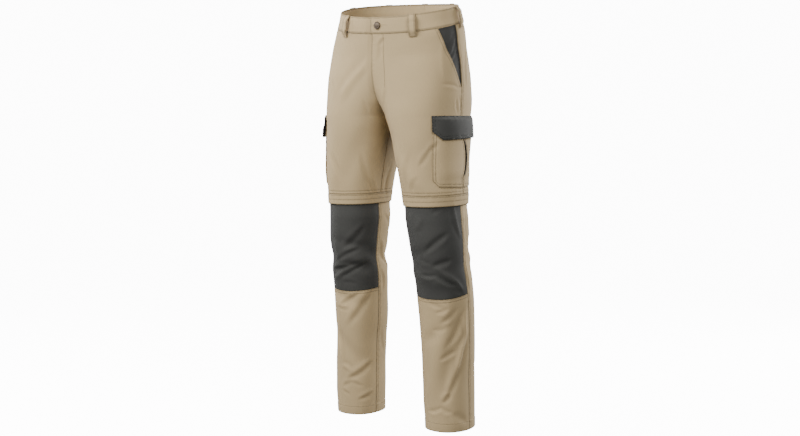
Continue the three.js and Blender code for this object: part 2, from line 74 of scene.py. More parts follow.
# The cut: heights in millimetres, as the maker's pattern has them
CLOTH = 1.5
BAND_WALL = 2.2
SEAM = 0.3
SEWN = -0.1
LAP = CLOTH + SEAM
WAIST_TOP = 18
WAIST_SEAM = -22
WAIST_TIP = 0.266
WAIST_SAG = 0.0005
WAIST_ROLL = -0.072
TIP_FADE = 180
TIP_FOOT = -200
CROTCH = -250
CROTCH_RISE = 165
CROTCH_CURVE = 1.3
INSEAM_FORWARD = math.radians(9)
INSEAM_TURN = 60
ZIP_SEAM = -441
SHORTS_HEM = -467
ZIP_TIP = 0.05
ZIP_TIP_FADE = 70
ZIP_TIP_FRONT = -80
ZIP_BOTTOM = -462
ZIP_WALL = 1
LEG_TOP = -452
LEG_INSET = -(LAP + ZIP_WALL + SEAM)
LEG_INSET_FADE = 35
KNEE_SEAM = -676
KNEE_DIP = {1: (-1, 12), -1: (3, 9)}
KNEE_DIP_FADE = 60
LEG_HEM = -1005
HEM_DEPTH = 21
HEM_FOLD = 0.7
HEM_STEP = 1.2
OUTSEAM_BACK = 10
OUTSEAM_RUN = 160
OUTSEAM_END = -400
OUTSEAM_FADE = 100
POCKET_TOP_REACH = -54
POCKET_END = -183
POCKET_CURVE = 0.85
FLY_END = -190
FLY_UNDERLAP = 8
FLY_FADE = 24
BAND_LIFT = 0.7
BAND_OVERLAP = 5
BAND_UNDERLAP = 32
FLY_RISE = 0.35
FLY_ROW = 33.7
FLY_ROW_LEAN = 0.047
FLY_ROW_END = -178
POCKET_TUCK = 9
FACING_LIFT = -3.2
FLAP_STEP = 0.5
STORM_ROWS = (3.2, 14)
HEM_ROW = 21
THREAD_RISE = 0.12
THREAD_FLAT = 0.8
BAR_HALF = 1.2

# The form: level, inner and outer side from the middle, front, back, widest place, squareness
SECTIONS = {
    1: (
        (40, 0.2, 161, -101, 114, 0, 2),
        (0, 0.2, 166, -103, 117, 0, 2.05),
        (-40, -2, 176, -101, 123, 0, 2.25),
        (-80, -4, 179, -100, 129, 0, 2.3),
        (-120, -4, 182, -100, 133, 1, 2.35),
        (-160, -4, 182.5, -100, 136, 2, 2.4),
        (-200, -4, 182, -101, 135, 2, 2.4),
        (-250, -4, 179.5, -104, 126, 3, 2.3),
        (-260, -1, 180, -104, 123, 3, 2.25),
        (-300, 14, 181, -103, 111, 2, 2.2),
        (-350, 27, 180, -100, 98, 0, 2.2),
        (-400, 38, 183.5, -97, 88, -2, 2.2),
        (-440, 44, 193, -92, 82, -3, 2.2),
        (-467, 49, 193, -90, 79, -4, 2.2),
        (-500, 55, 195, -88, 75, -5, 2.2),
        (-540, 62, 200, -86, 70, -6, 2.2),
        (-570, 67, 202, -84, 67, -7, 2.2),
        (-600, 72, 202, -79, 66, -5, 2.2),
        (-640, 75, 207, -73, 69, -2, 2.2),
        (-700, 79, 210, -66, 73, 4, 2.2),
        (-760, 83, 210, -62, 77, 8, 2.2),
        (-820, 87, 209, -60, 78, 9, 2.2),
        (-880, 91, 208, -59, 76, 9, 2.2),
        (-940, 95, 211, -59, 73, 7, 2.2),
        (-1005, 101, 213, -60, 70, 5, 2.2),
    ),
    -1: (
        (40, 0.2, 158, -101, 114, 0, 2),
        (0, 0.2, 164, -103, 117, 0, 2.05),
        (-40, 2.2, 174.5, -101, 123, 0, 2.25),
        (-80, 4.2, 186, -100, 129, 0, 2.3),
        (-120, 4.2, 192, -100, 133, 1, 2.35),
        (-160, 4.2, 195, -100, 136, 2, 2.4),
        (-200, 4.2, 194, -101, 135, 2, 2.4),
        (-250, 4.2, 193, -104, 126, 3, 2.3),
        (-260, 6, 192.3, -104, 123, 3, 2.25),
        (-300, 17, 191.3, -103, 111, 2, 2.2),
        (-350, 27, 191, -100, 98, 0, 2.2),
        (-400, 35, 190.8, -97, 88, -2, 2.2),
        (-440, 40, 191, -92, 82, -3, 2.2),
        (-467, 43, 190, -90, 79, -4, 2.2),
        (-500, 44, 186, -88, 75, -5, 2.2),
        (-540, 48, 186, -86, 70, -6, 2.2),
        (-570, 51, 184, -84, 67, -7, 2.2),
        (-600, 55, 179, -79, 64, -5, 2.2),
        (-640, 51, 187, -73, 69, -2, 2.2),
        (-700, 55, 187, -66, 73, 4, 2.2),
        (-760, 59, 185, -62, 77, 8, 2.2),
        (-820, 65, 181, -60, 78, 9, 2.2),
        (-880, 66, 184, -59, 76, 9, 2.2),
        (-940, 65, 184, -59, 73, 7, 2.2),
        (-1005, 66, 176, -60, 70, 5, 2.2),
    ),
}

# Folds: side, from reach and level, to reach and level, depth (a ridge is positive), width
FOLDS = (
    (-1, -190, -575, -110, -560, -4, 13),
    (-1, -190, -600, -95, -610, 4, 13),
    (-1, -185, -632, -120, -612, -4.5, 12),
    (1, -150, -585, -70, -560, -3, 14),
    (1, -170, -625, -60, -650, 3.5, 15),
    (1, -30, -700, -75, -920, -5, 17),
    (1, -58, -690, -105, -900, 3, 16),
    (-1, -150, -720, -70, -690, -3.5, 16),
    (-1, -165, -880, -60, -790, -3.5, 17),
    (1, -120, -790, -60, -740, -3, 15),
    (1, -200, -330, -110, -420, 3, 20),
    (-1, -215, -300, -150, -420, -3, 20),
    (1, 40, -560, 160, -600, -5, 15),
    (1, 50, -595, 150, -570, 4, 14),
    (-1, 40, -560, 160, -600, -5, 15),
    (-1, 50, -595, 150, -570, 4, 14),
    (1, 110, -305, 190, -272, -3.5, 20),
    (-1, 110, -305, 190, -272, -3.5, 20),
)

# Creases that only the fine cloth shows, in the same columns
CREASES = (
    # right knee
    (-1, -102, -558, -98, -598, 2.5, 8),
    (-1, -98, -608, -160, -580, -2.8, 5),
    (-1, -126, -576, -184, -526, -2.4, 7),
    (-1, -75, -635, -127, -625, -2.6, 4.5),
    (-1, -111, -649, -174, -615, -3.2, 5),
    (-1, -76, -658, -113, -637, 2.6, 6),
    (-1, -109, -665, -146, -666, -1.4, 4),
    (-1, -132, -620, -164, -612, -1.6, 4.5),
    # left knee
    (1, -85, -480, -66, -473, -1.3, 5),
    (1, -106, -570, -54, -530, -3.2, 7),
    (1, -86, -605, -45, -591, -3, 6.5),
    (1, -122, -628, -84, -628, -2.6, 4),
    (1, -84, -628, -34, -653, -2.8, 4.5),
    (1, -72, -617, -20, -662, 3.2, 7),
    (1, -27, -464, -13, -534, 1.6, 6),
    (1, -133, -521, -112, -494, 1.2, 8),
    (1, -123, -590, -94, -600, -1.1, 5),
    # right shin
    (-1, -83, -732, -119, -734, -1.1, 5),
    (-1, -100, -723, -146, -697, -1.9, 6),
    (-1, -122, -770, -186, -690, -3, 9),
    (-1, -81, -778, -96, -873, 2.2, 5),
    (-1, -96, -880, -122, -893, 1.6, 6),
    (-1, -117, -912, -177, -872, -3, 7),
    (-1, -98, -932, -122, -921, -1.4, 5),
    (-1, -122, -921, -148, -931, -1.4, 5),
    (-1, -140, -965, -182, -948, -2.3, 5),
    (-1, -94, -946, -115, -953, -1.1, 4),
    # left shin
    (1, -107, -697, -74, -705, -1.1, 5),
    (1, -89, -718, -64, -707, -1.6, 5),
    (1, -78, -741, -41, -709, -2.3, 6),
    (1, -66, -797, -27, -727, -3, 7),
    (1, -80, -830, -45, -810, -2.2, 5.5),
    (1, -102, -760, -71, -756, -1, 5),
    (1, -11, -713, -14, -774, 2.6, 5),
    (1, -14, -774, -40, -860, 2.8, 6),
    (1, -12, -790, -58, -915, -3.6, 8),
    (1, -58, -915, -73, -934, -3, 6),
    (1, -112, -958, -80, -946, -1.6, 5),
    (1, -80, -946, -54, -957, -1.6, 5),
    (1, -49, -960, -14, -982, -2, 9),
    # left thigh and lap
    (1, -69, -318, -88, -337, -1.7, 6),
    (1, -88, -337, -108, -369, -1.7, 6),
    (1, -114, -397, -135, -426, -0.9, 6),
    (1, -134, -344, -151, -414, -0.9, 8),
    (1, -13, -214, -6, -244, -1.1, 3.5),
    (1, -1, -204, 9, -241, -1.1, 3.5),
    (1, -54, -177, -6, -183, -1.3, 4.5),
    (1, -192, -35, -209, -54, -1.8, 5),
    (1, -209, -54, -214, -97, -1.7, 5),
    (1, -205, -190, -222, -228, -1, 6),
    (1, 45, -78, 37, -176, 1.3, 5),
    (1, 62, -66, 52, -150, -1.2, 6),
    (1, -52, -160, -40, -36, 0.9, 7),
    # right thigh and lap
    (-1, -159, -191, -232, -91, 1.3, 12),
    (-1, -172, -214, -236, -128, -1, 12),
    (-1, -208, -344, -228, -433, -1.6, 8),
    (-1, -109, -344, -135, -401, 1.6, 5),
    (-1, -125, -336, -146, -386, -1.1, 4),
    (-1, -221, -420, -224, -438, -1.2, 3.5),
    (-1, -224, -210, -236, -246, -1.2, 5),
    (-1, 262, -448, 266, -366, -1.3, 5),
    (-1, 242, -457, 276, -370, -1.3, 5),
    # facing of the left pocket
    (1, -30, -96, -8, -58, 1.6, 5),
    (1, -26, -112, -2, -80, 1.2, 4),
    (1, -40, -66, -18, -40, 0.9, 5),
    # behind the knees
    (-1, 233, -559, 189, -618, -2.6, 6.5),
    (-1, 189, -618, 159, -672, -2.4, 6.5),
    (-1, 232, -498, 172, -545, -1.6, 5),
    (-1, 227, -630, 210, -689, -2, 6),
    (-1, 203, -793, 186, -848, -1.2, 6),
    (-1, 50, -548, 130, -566, -2, 8),
    (-1, 60, -582, 165, -596, -2.2, 7),
    (-1, 50, -618, 130, -634, -1.8, 8),
    (1, 24, -484, 15, -559, -1.6, 4.5),
    (1, 9, -600, 13, -663, 1.6, 5),
    (1, 40, -545, 120, -560, -2, 8),
    (1, 80, -575, 190, -590, -2.2, 7),
    (1, 60, -612, 150, -626, -1.8, 8),
    # calves and seat
    (1, 60, -760, 130, -720, -1.7, 10),
    (1, 90, -900, 40, -850, -1.6, 9),
    (1, 150, -960, 90, -940, -1.3, 7),
    (-1, 70, -780, 140, -740, -1.7, 10),
    (-1, 100, -880, 50, -830, -1.6, 9),
    (-1, 140, -950, 80, -968, -1.3, 7),
    (1, 150, -250, 232, -282, -2, 9),
    (1, 120, -330, 200, -310, -1.6, 9),
    (1, 90, -400, 160, -420, -1.1, 8),
    (-1, 145, -252, 228, -284, -2, 9),
    (-1, 115, -336, 196, -318, -1.6, 9),
    (-1, 95, -410, 170, -396, -1.1, 8),
    (1, 190, -60, 150, -110, -1.2, 12),
    (-1, 190, -60, 146, -104, -1.2, 12),
)

# A crease: its bow as a share of its length, its width at the tips, and the ridge beside it
CREASE_BOW = 0.05
CREASE_TIP = 0.7
RIDGE = 0.5
RIDGE_AT = 1.9
RIDGE_WIDTH = 1.1

# The table that turns a reach into an angle round the ring, a row for each level
SPARE = 0.35
RING_LOW = -1015.0
RING_HIGH = 47.0
RING_STEP = 2.0
RING_SAMPLES = 301
SHARE_LIMIT = 1.25
SHARE_SAMPLES = 401

# How far apart the points are that a normal is measured between, in radians and millimetres
NORMAL_TURN = 0.004
NORMAL_RISE = 0.5
CLEAR_WIDTH = 30


def ease(x):
    """0 below 0, 1 above 1 and a smooth step between."""
    c = np.clip(x, 0, 1)
    return c * c * (3 - 2 * c)


def bump(x):
    """A soft bell, 1 at 0."""
    return np.exp(-(x * x))


def from_line(level, reach, r0, l0, r1, l1):
    """How far along a line a place is, as a share of it, how far off it, and the line's length."""
    length = math.hypot(r1 - r0, l1 - l0)
    along = ((reach - r0) * (r1 - r0) + (level - l0) * (l1 - l0)) / length**2
    off = ((reach - r0) * (l1 - l0) - (level - l0) * (r1 - r0)) / length
    return along, off, length


class Form:
    """One half of the trousers as a surface, the same as the solids are made on."""

    def __init__(self, side):
        rows = np.array(SECTIONS[side], float)[::-1]
        self.side = side
        self.heights = rows[:, 0]
        self.values = rows[:, 1:]
        rises = np.diff(self.values, axis=0) / np.diff(self.heights)[:, None]
        self.slopes = np.zeros_like(self.values)
        agree = rises[:-1] * rises[1:] > 0
        total = np.where(agree, rises[:-1] + rises[1:], 1)
        self.slopes[1:-1] = np.where(agree, 2 * rises[:-1] * rises[1:] / total, 0)
        self._measure_rings()

    def section(self, level):
        """inner, outer, front, back, mid and square at each level."""
        k = np.clip(np.searchsorted(self.heights, level, side="right") - 1, 0, len(self.heights) - 2)
        span = (self.heights[k + 1] - self.heights[k])[..., None]
        h = np.clip((level - self.heights[k])[..., None] / span, 0, 1)
        a, b = self.values[k], self.values[k + 1]
        ma, mb = self.slopes[k] * span, self.slopes[k + 1] * span
        rise = b - a
        found = a + h * (ma + h * (3 * rise - 2 * ma - mb + h * (ma + mb - 2 * rise)))
        return np.moveaxis(found, -1, 0)

    @staticmethod
    def reach_angle(level):
        """How far round its ring each half goes: a quarter turn at the waist, a half turn in a leg."""
        up = np.clip((level - CROTCH) / CROTCH_RISE, 0, 1)
        return np.arccos(-((1 - up) ** CROTCH_CURVE))

    @staticmethod
    def roundness(angle, square):
        return (np.abs(np.cos(angle)) ** square + np.abs(np.sin(angle)) ** square) ** (-1 / square)

    def point(self, level, angle):
        inner, outer, front, back, mid, square = self.section(level)
        end = self.reach_angle(level)
        half = (outer - inner) / (1 - np.cos(end) * self.roundness(end, square))
        r = self.roundness(angle, square)
        depth = np.where(np.sin(angle) < 0, mid - front, back - mid)
        x = self.side * (outer - half + half * np.cos(angle) * r)
        y = mid + depth * np.sin(angle) * r
        tip = WAIST_TIP * y - WAIST_SAG * y * y + WAIST_ROLL * x
        waist = ease((level - TIP_FOOT) / TIP_FADE) * tip
        z = level + waist + ZIP_TIP * bump((level - ZIP_SEAM) / ZIP_TIP_FADE) * (y - ZIP_TIP_FRONT)
        return np.stack([x, y, z], -1)

    def normal(self, level, angle):
        across = self.point(level, angle + NORMAL_TURN) - self.point(level, angle - NORMAL_TURN)
        up = self.point(level + NORMAL_RISE, angle) - self.point(level - NORMAL_RISE, angle)
        out = np.cross(across, up) * self.side
        return out / np.linalg.norm(out, axis=-1, keepdims=True)

    def _measure_rings(self):
        self.ring_levels = np.arange(RING_LOW, RING_HIGH, RING_STEP)
        self.shares = np.linspace(-SHARE_LIMIT, SHARE_LIMIT, SHARE_SAMPLES)
        turn = INSEAM_FORWARD * ease((CROTCH - self.ring_levels) / INSEAM_TURN)
        ends = self.reach_angle(self.ring_levels)
        self.front_of, self.back_of, self.angles = [], [], []
        for level, first, last in zip(self.ring_levels, -(ends - turn), ends + turn):
            forward = np.linspace(first - SPARE, 0, RING_SAMPLES)[:-1]
            angle = np.concatenate([forward, np.linspace(0, last + SPARE, RING_SAMPLES)])
            steps = np.diff(self.point(np.full_like(angle, level), angle), axis=0)
            reach = np.concatenate([[0], np.cumsum(np.linalg.norm(steps, axis=1))])
            reach -= reach[len(forward)]
            front, back = np.interp([first, last], angle, reach)
            self.front_of.append(front)
            self.back_of.append(back)
            wanted = np.where(self.shares < 0, -self.shares * front, self.shares * back)
            self.angles.append(np.interp(wanted, reach, angle))
        self.angles = np.array(self.angles)

    def front(self, level):
        """The reach of the front edge: the centre front above the crotch, the inseam below it."""
        return np.interp(level, self.ring_levels, self.front_of)

    def back(self, level):
        """The reach of the back edge: the centre back above the crotch, the inseam below it."""
        return np.interp(level, self.ring_levels, self.back_of)

    def angle(self, level, reach):
        share = np.where(reach < 0, -reach / self.front(level), reach / self.back(level))
        row = (level - self.ring_levels[0]) / RING_STEP
        column = (share + SHARE_LIMIT) / (self.shares[1] - self.shares[0])
        row = np.clip(row, 0, len(self.ring_levels) - 1.001)
        column = np.clip(column, 0, len(self.shares) - 1.001)
        i, j = row.astype(int), column.astype(int)
        fi, fj = row - i, column - j
        a = self.angles
        low = a[i, j] * (1 - fj) + a[i, j + 1] * fj
        high = a[i + 1, j] * (1 - fj) + a[i + 1, j + 1] * fj
        return low * (1 - fi) + high * fi

    def clear(self, level, reach):
        """1 on the open cloth, 0 at the seams that meet at the crotch."""
        return ease(np.minimum(reach - self.front(level), self.back(level) - reach) / CLEAR_WIDTH)

    def fold(self, level, reach):
        """How far the main folds push the cloth out, as on the solids."""
        total = np.zeros(np.broadcast(level, reach).shape)
        for side, *line, depth, width in FOLDS:
            if side == self.side:
                along, off, _ = from_line(level, reach, *line)
                ends = ease((along + 0.25) / 0.5) * ease((1.25 - along) / 0.5)
                total += depth * ends * bump(off / width)
        return total * self.clear(level, reach)

    def crease(self, level, reach):
        """The finer creases: each bows a little, narrows to its ends and throws up a ridge beside it."""
        total = np.zeros(np.broadcast(level, reach).shape)
        for side, *line, depth, width in CREASES:
            if side == self.side:
                along, off, length = from_line(level, reach, *line)
                middle = np.sin(math.pi * np.clip(along, 0, 1))
                bow = CREASE_BOW * length * math.sin(line[0] + line[1]) * middle
                off = (off + bow) / (width * (CREASE_TIP + (1 - CREASE_TIP) * middle))
                ends = ease((along + 0.2) / 0.45) * ease((1.2 - along) / 0.45)
                total += depth * ends * (bump(off) - RIDGE * bump((off - RIDGE_AT) / RIDGE_WIDTH))
        return total * self.clear(level, reach)

    def ripple(self, level, reach):
        """The slight unevenness of cloth that hangs free."""
        s = self.side
        broad = np.sin(reach / 31 + level / 83 + s) * np.sin(level / 57 - reach / 120 + 2 * s)
        small = np.sin(reach / 13 - level / 37 + 3 * s) * np.sin(level / 23 + reach / 41 - s)
        return (0.8 * broad + 0.25 * small) * self.clear(level, reach) * ease((WAIST_SEAM - level) / 40)

    def place(self, level, reach, lift):
        """Points of the cloth in metres, lifted off the form along its normals."""
        level, reach, lift = np.broadcast_arrays(*(np.asarray(v, float) for v in (level, reach, lift)))
        angle = self.angle(level, reach)
        out = lift + self.fold(level, reach) + self.crease(level, reach) + self.ripple(level, reach)
        return (self.point(level, angle) + self.normal(level, angle) * out[..., None]) * MM

    def out(self, level, reach):
        """The cloth's outward direction at one place."""
        level, reach = np.array([float(level)]), np.array([float(reach)])
        return Vector(self.normal(level, self.angle(level, reach))[0])


FORMS = {1: Form(1), -1: Form(-1)}
SIDES = {1: "left", -1: "right"}


def color_setting(name, description, default):
    return bpy.props.FloatVectorProperty(
        name=name, description=description, subtype="COLOR", size=3, min=0, max=1, default=default)


def length_setting(name, description, default, low, high):
    return bpy.props.FloatProperty(
        name=name, description=description, subtype="DISTANCE", unit="LENGTH", default=default, min=low,
        max=high)


def power_setting(name, description, default):
    return bpy.props.FloatProperty(name=name, description=description, default=default, min=0, max=1000)


class Settings(bpy.types.PropertyGroup):
    """Sizes, colours and lights that a maker would change."""

    tan: color_setting("Tan canvas", "Colour of the main cloth", (0.468, 0.35, 0.189))
    grey: color_setting(
        "Grey canvas", "Colour of the knees, flaps and pocket facings", (0.046, 0.0455, 0.0415))
    metal: color_setting("Button metal", "Colour of the shank button", (0.12, 0.092, 0.066))
    tape: color_setting("Zip tape", "Colour of the zips' tape and coil", (0.36, 0.27, 0.15))
    cloth_wall: length_setting("Cloth wall", "Thickness of one layer of canvas", 0.0015, 0.0005, 0.003)
    grain: length_setting("Grid step", "Distance between the cloth's vertices", 0.0032, 0.002, 0.02)
    weave: length_setting(
        "Weave pitch", "Distance between two threads of the canvas", 0.0009, 0.0002, 0.005)
    stitch_pitch: length_setting(
        "Stitch pitch", "Length of one stitch with its gap", 0.0033, 0.001, 0.01)
    thread: length_setting("Thread", "Radius of the sewing thread", 0.00038, 0.0001, 0.001)
    floor_drop: length_setting("Floor drop", "How far the floor lies under the hems", 0.12, 0, 1)
    key: power_setting("Key light", "Power of the main softbox in watts", 86)
    fill: power_setting("Fill light", "Power of the softbox in front in watts", 50)
    rim: power_setting("Rim light", "Power of the softbox behind in watts", 95)
    edge: power_setting("Edge light", "Power of the softbox aside in watts", 62)


def settings():
    return bpy.context.scene.trousers


# Materials


class Flow:
    """A socket of a material that takes part in sums, each of which adds its Math node."""

    def __init__(self, tree, socket):
        self.tree = tree
        self.socket = socket

    def math(self, operation, *values):
        node = self.tree.nodes.new("ShaderNodeMath")
        node.operation = operation
        for slot, value in zip(node.inputs, values):
            connect(self.tree, slot, value)
        return Flow(self.tree, node.outputs[0])

    def __add__(self, other):
        return self.math("ADD", self, other)

    def __radd__(self, other):
        return self.math("ADD", other, self)

    def __sub__(self, other):
        return self.math("SUBTRACT", self, other)

    def __rsub__(self, other):
        return self.math("SUBTRACT", other, self)

    def __mul__(self, other):
        return self.math("MULTIPLY", self, other)

    def __rmul__(self, other):
        return self.math("MULTIPLY", other, self)

    def __truediv__(self, other):
        return self.math("DIVIDE", self, other)

    def __pow__(self, other):
        return self.math("POWER", self, other)


def connect(tree, slot, value):
    """Links a flow to a socket, or sets the socket's own value."""
    if isinstance(value, Flow):
        tree.links.new(value.socket, slot)
    elif value is not None:
        slot.default_value = value


class Finish:
    """A new material and the one method that adds nodes to it."""

    def __init__(self, name):
        self.material = bpy.data.materials.new(name)
        self.material.use_nodes = True
        self.tree = self.material.node_tree
        self.shader = self.tree.nodes["Principled BSDF"]

    def node(self, kind, settings=None, output=0, **sockets):
        node = self.tree.nodes.new(kind)
        for key, value in (settings or {}).items():
            setattr(node, key, value)
        for key, value in sockets.items():
            connect(self.tree, node.inputs[key.replace("_", " ")], value)
        return Flow(self.tree, node.outputs[output])

    def mix(self, blend, factor, first, second):
        mixed = self.node("ShaderNodeMix", {"data_type": "RGBA", "blend_type": blend}, output=2)
        for slot, value in zip((0, 6, 7), (factor, first, second)):
            connect(self.tree, mixed.socket.node.inputs[slot], value)
        return mixed

    def set(self, **sockets):
        for key, value in sockets.items():
            connect(self.tree, self.shader.inputs[key.replace("_", " ")], value)
        return self.material


def shade(color, factor):
    return tuple(min(1.0, c * factor) for c in color) + (1.0,)


def canvas_finish(name, color, pale, dark):
    """Plain-woven canvas: threads over and under, uneven dye, and painted shade that darkens seams,
    furrows and crease troughs and lightens crease ridges, from the shade attribute.
    """
    finish = Finish(name)
    uv = finish.node("ShaderNodeUVMap", {"uv_map": "cloth"})
    across = finish.node("ShaderNodeSeparateXYZ", Vector=uv)
    along = Flow(finish.tree, across.socket.node.outputs[1])
    turn = 2 * math.pi / settings().weave
    weave = (across * turn).math("SINE") * (along * turn).math("SINE")
    place = finish.node("ShaderNodeTexCoord", output=3)
    broad = finish.node("ShaderNodeTexNoise", Vector=place, Scale=9.0, Detail=3.0, Roughness=0.55)
    slub = finish.node("ShaderNodeMapping", Vector=uv, Scale=(900.0, 90.0, 1.0))
    threads = finish.node("ShaderNodeTexNoise", Vector=slub, Scale=1.0, Detail=2.0)
    fine = finish.node("ShaderNodeTexNoise", Vector=place, Scale=420.0, Detail=2.0)
    mixed = 0.5 + (broad - 0.5) * 0.9 + (threads - 0.5) * 0.55 + (fine - 0.5) * 0.3 + weave * 0.04
    tone = finish.mix("MIX", mixed, shade(color, dark), shade(color, pale))
    # The shade attribute holds painted shade and light, multiplied into the cloth's colour.
    painted_shading = finish.node("ShaderNodeAttribute", {"attribute_name": "shade"}, output=0)
    with_painted_shading = finish.mix("MULTIPLY", 1.0, tone, painted_shading)
    height = weave * 0.5 + (threads - 0.5) * 0.8 + (fine - 0.5) * 0.5
    relief = finish.node("ShaderNodeBump", Height=height, Strength=0.32, Distance=0.0004)
    finish.set(Base_Color=with_painted_shading, Roughness=0.82 + (broad - 0.5) * 0.2, Normal=relief)
    return finish.set(Sheen_Weight=0.06, Sheen_Roughness=0.5, Specular_IOR_Level=0.25)


def thread_finish(name, color):
    """Twisted sewing thread with a slight shine."""
    finish = Finish(name)
    place = finish.node("ShaderNodeTexCoord", output=3)
    twist = finish.node("ShaderNodeTexNoise", Vector=place, Scale=1500.0, Detail=1.0)
    tone = finish.mix("MIX", twist, shade(color, 0.8), shade(color, 1.15))
    return finish.set(Base_Color=tone, Roughness=0.6)


def metal_finish(name, color):
    """Antique bronze, darker and duller where it isn't rubbed."""
    finish = Finish(name)
    place = finish.node("ShaderNodeTexCoord", output=3)
    patina = finish.node("ShaderNodeTexNoise", Vector=place, Scale=260.0, Detail=4.0)
    tone = finish.mix("MIX", patina, shade(color, 0.7), shade(color, 1.25))
    relief = finish.node("ShaderNodeBump", Height=patina, Strength=0.15, Distance=0.0002)
    return finish.set(Base_Color=tone, Metallic=0.8, Roughness=0.42 + patina * 0.25, Normal=relief)


def material(kind):
    """The finish of a kind, made once."""
    name = kind + "_finish"
    if name in bpy.data.materials:
        return bpy.data.materials[name]
    s = settings()
    makers = {
        "tan_canvas": lambda: canvas_finish(name, s.tan, 1.09, 0.91),
        "grey_canvas": lambda: canvas_finish(name, s.grey, 1.22, 0.8),
        "zip_tape": lambda: canvas_finish(name, s.tape, 1.05, 0.9),
        "zip_coil": lambda: thread_finish(name, s.tape),
        "tan_thread": lambda: thread_finish(name, shade(s.tan, 0.86)[:3]),
        "grey_thread": lambda: thread_finish(name, shade(s.grey, 1.5)[:3]),
        "button_metal": lambda: metal_finish(name, s.metal),
    }
    return makers[kind]()


# Cloth


def add_object(name, bm, kind, slot, node=None, smooth=True):
    """A bmesh becomes a piece that rides on the frame and takes the finish of its kind; the slot is not
    used.
    """
    mesh = bpy.data.meshes.new(name)
    bm.to_mesh(mesh)
    bm.free()
    mesh.polygons.foreach_set("use_smooth", [smooth] * len(mesh.polygons))
    mesh.materials.append(material(kind))
    piece = bpy.data.objects.new(name, mesh)
    bpy.context.scene.collection.objects.link(piece)
    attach(piece, "root")
    if node:
        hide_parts(node)
    return piece


# Rows of stitching and columns of vertices, as distances from a panel's edge
TWIN = (2.2, 7.4)
NEAR = (0, 0.5, 1.1, 1.7, 2.3, 2.9, 4, 5.6, 6.7, 7.4, 8.1, 9.4)
NEAR_PLAIN = (0, 0.5, 1.1, 1.8, 2.6)
NEAR_LOOP = (0, 0.6, 1.4, 2.3, 3, 3.7)
NEAR_HEM = (0, 0.6, 1.4, 3, 17, 19.4, 20.4, 21, 21.6, 22.6)
NEAR_FLY = NEAR + (12, 15, 18, 21, 24, 27, 30, *range(32, 44))
NEAR_STORM = (0, 0.5, 1.1, 1.8, 2.5, 3.2, 3.9, 5, 7, 9, 11, 12.4, 13.3, 14, 14.7, 15.6)
ROW_SAMPLES = 300
CUT_SAMPLES = 60

# How an edge turns in, where the crotch's edges meet instead, how deep the rows lie, and how much
# painted shade darkens edges, rows and creases
EDGE_TURN = 0.9
CROTCH_MEET = 1.55
CROTCH_FADE = 60
CROTCH_PAST = 30
CROTCH_END = 20
EDGE_WIDTH = 1.7
EDGE_PAINTED_SHADE = 0.5
ROW_FURROW = 0.36
ROW_WIDTH = 0.95
ROW_PAINTED_SHADE = 0.45
CREASE_PAINTED_SHADING = 0.045


def spaced(index, count, first, last, near_first, near_last):
    """Columns close together near both edges and even between them."""
    k, m = len(near_first) - 1, len(near_last) - 1
    low = first + near_first[-1]
    high = last - near_last[-1]
    even = low + (high - low) * (index - k) / (count - k - m)
    early = first + np.array(near_first)[np.clip(index, 0, k)]
    late = last - np.array(near_last)[np.clip(count - index, 0, m)]
    return np.where(index < k, early, np.where(index > count - m, late, even))


def pucker(distance, along, seed):
    """Small uneven waves where the stitching draws the cloth in."""
    wave = np.sin(along / 1.9 + seed) * np.sin(along / 7.3 + 2.1 * seed)
    wave = wave + 0.6 * np.sin(along / 3.1 - seed)
    return 0.2 * wave * bump((distance - 5) / 7)


def crotch_turn(level):
    """Where the two halves part, their edges face each other and meet, so no light gets through."""
    below = ease((CROTCH + CROTCH_RISE - level) / CROTCH_FADE)
    parting = below * ease((level - CROTCH + CROTCH_PAST) / CROTCH_END)
    return 1 - CROTCH_MEET * parting


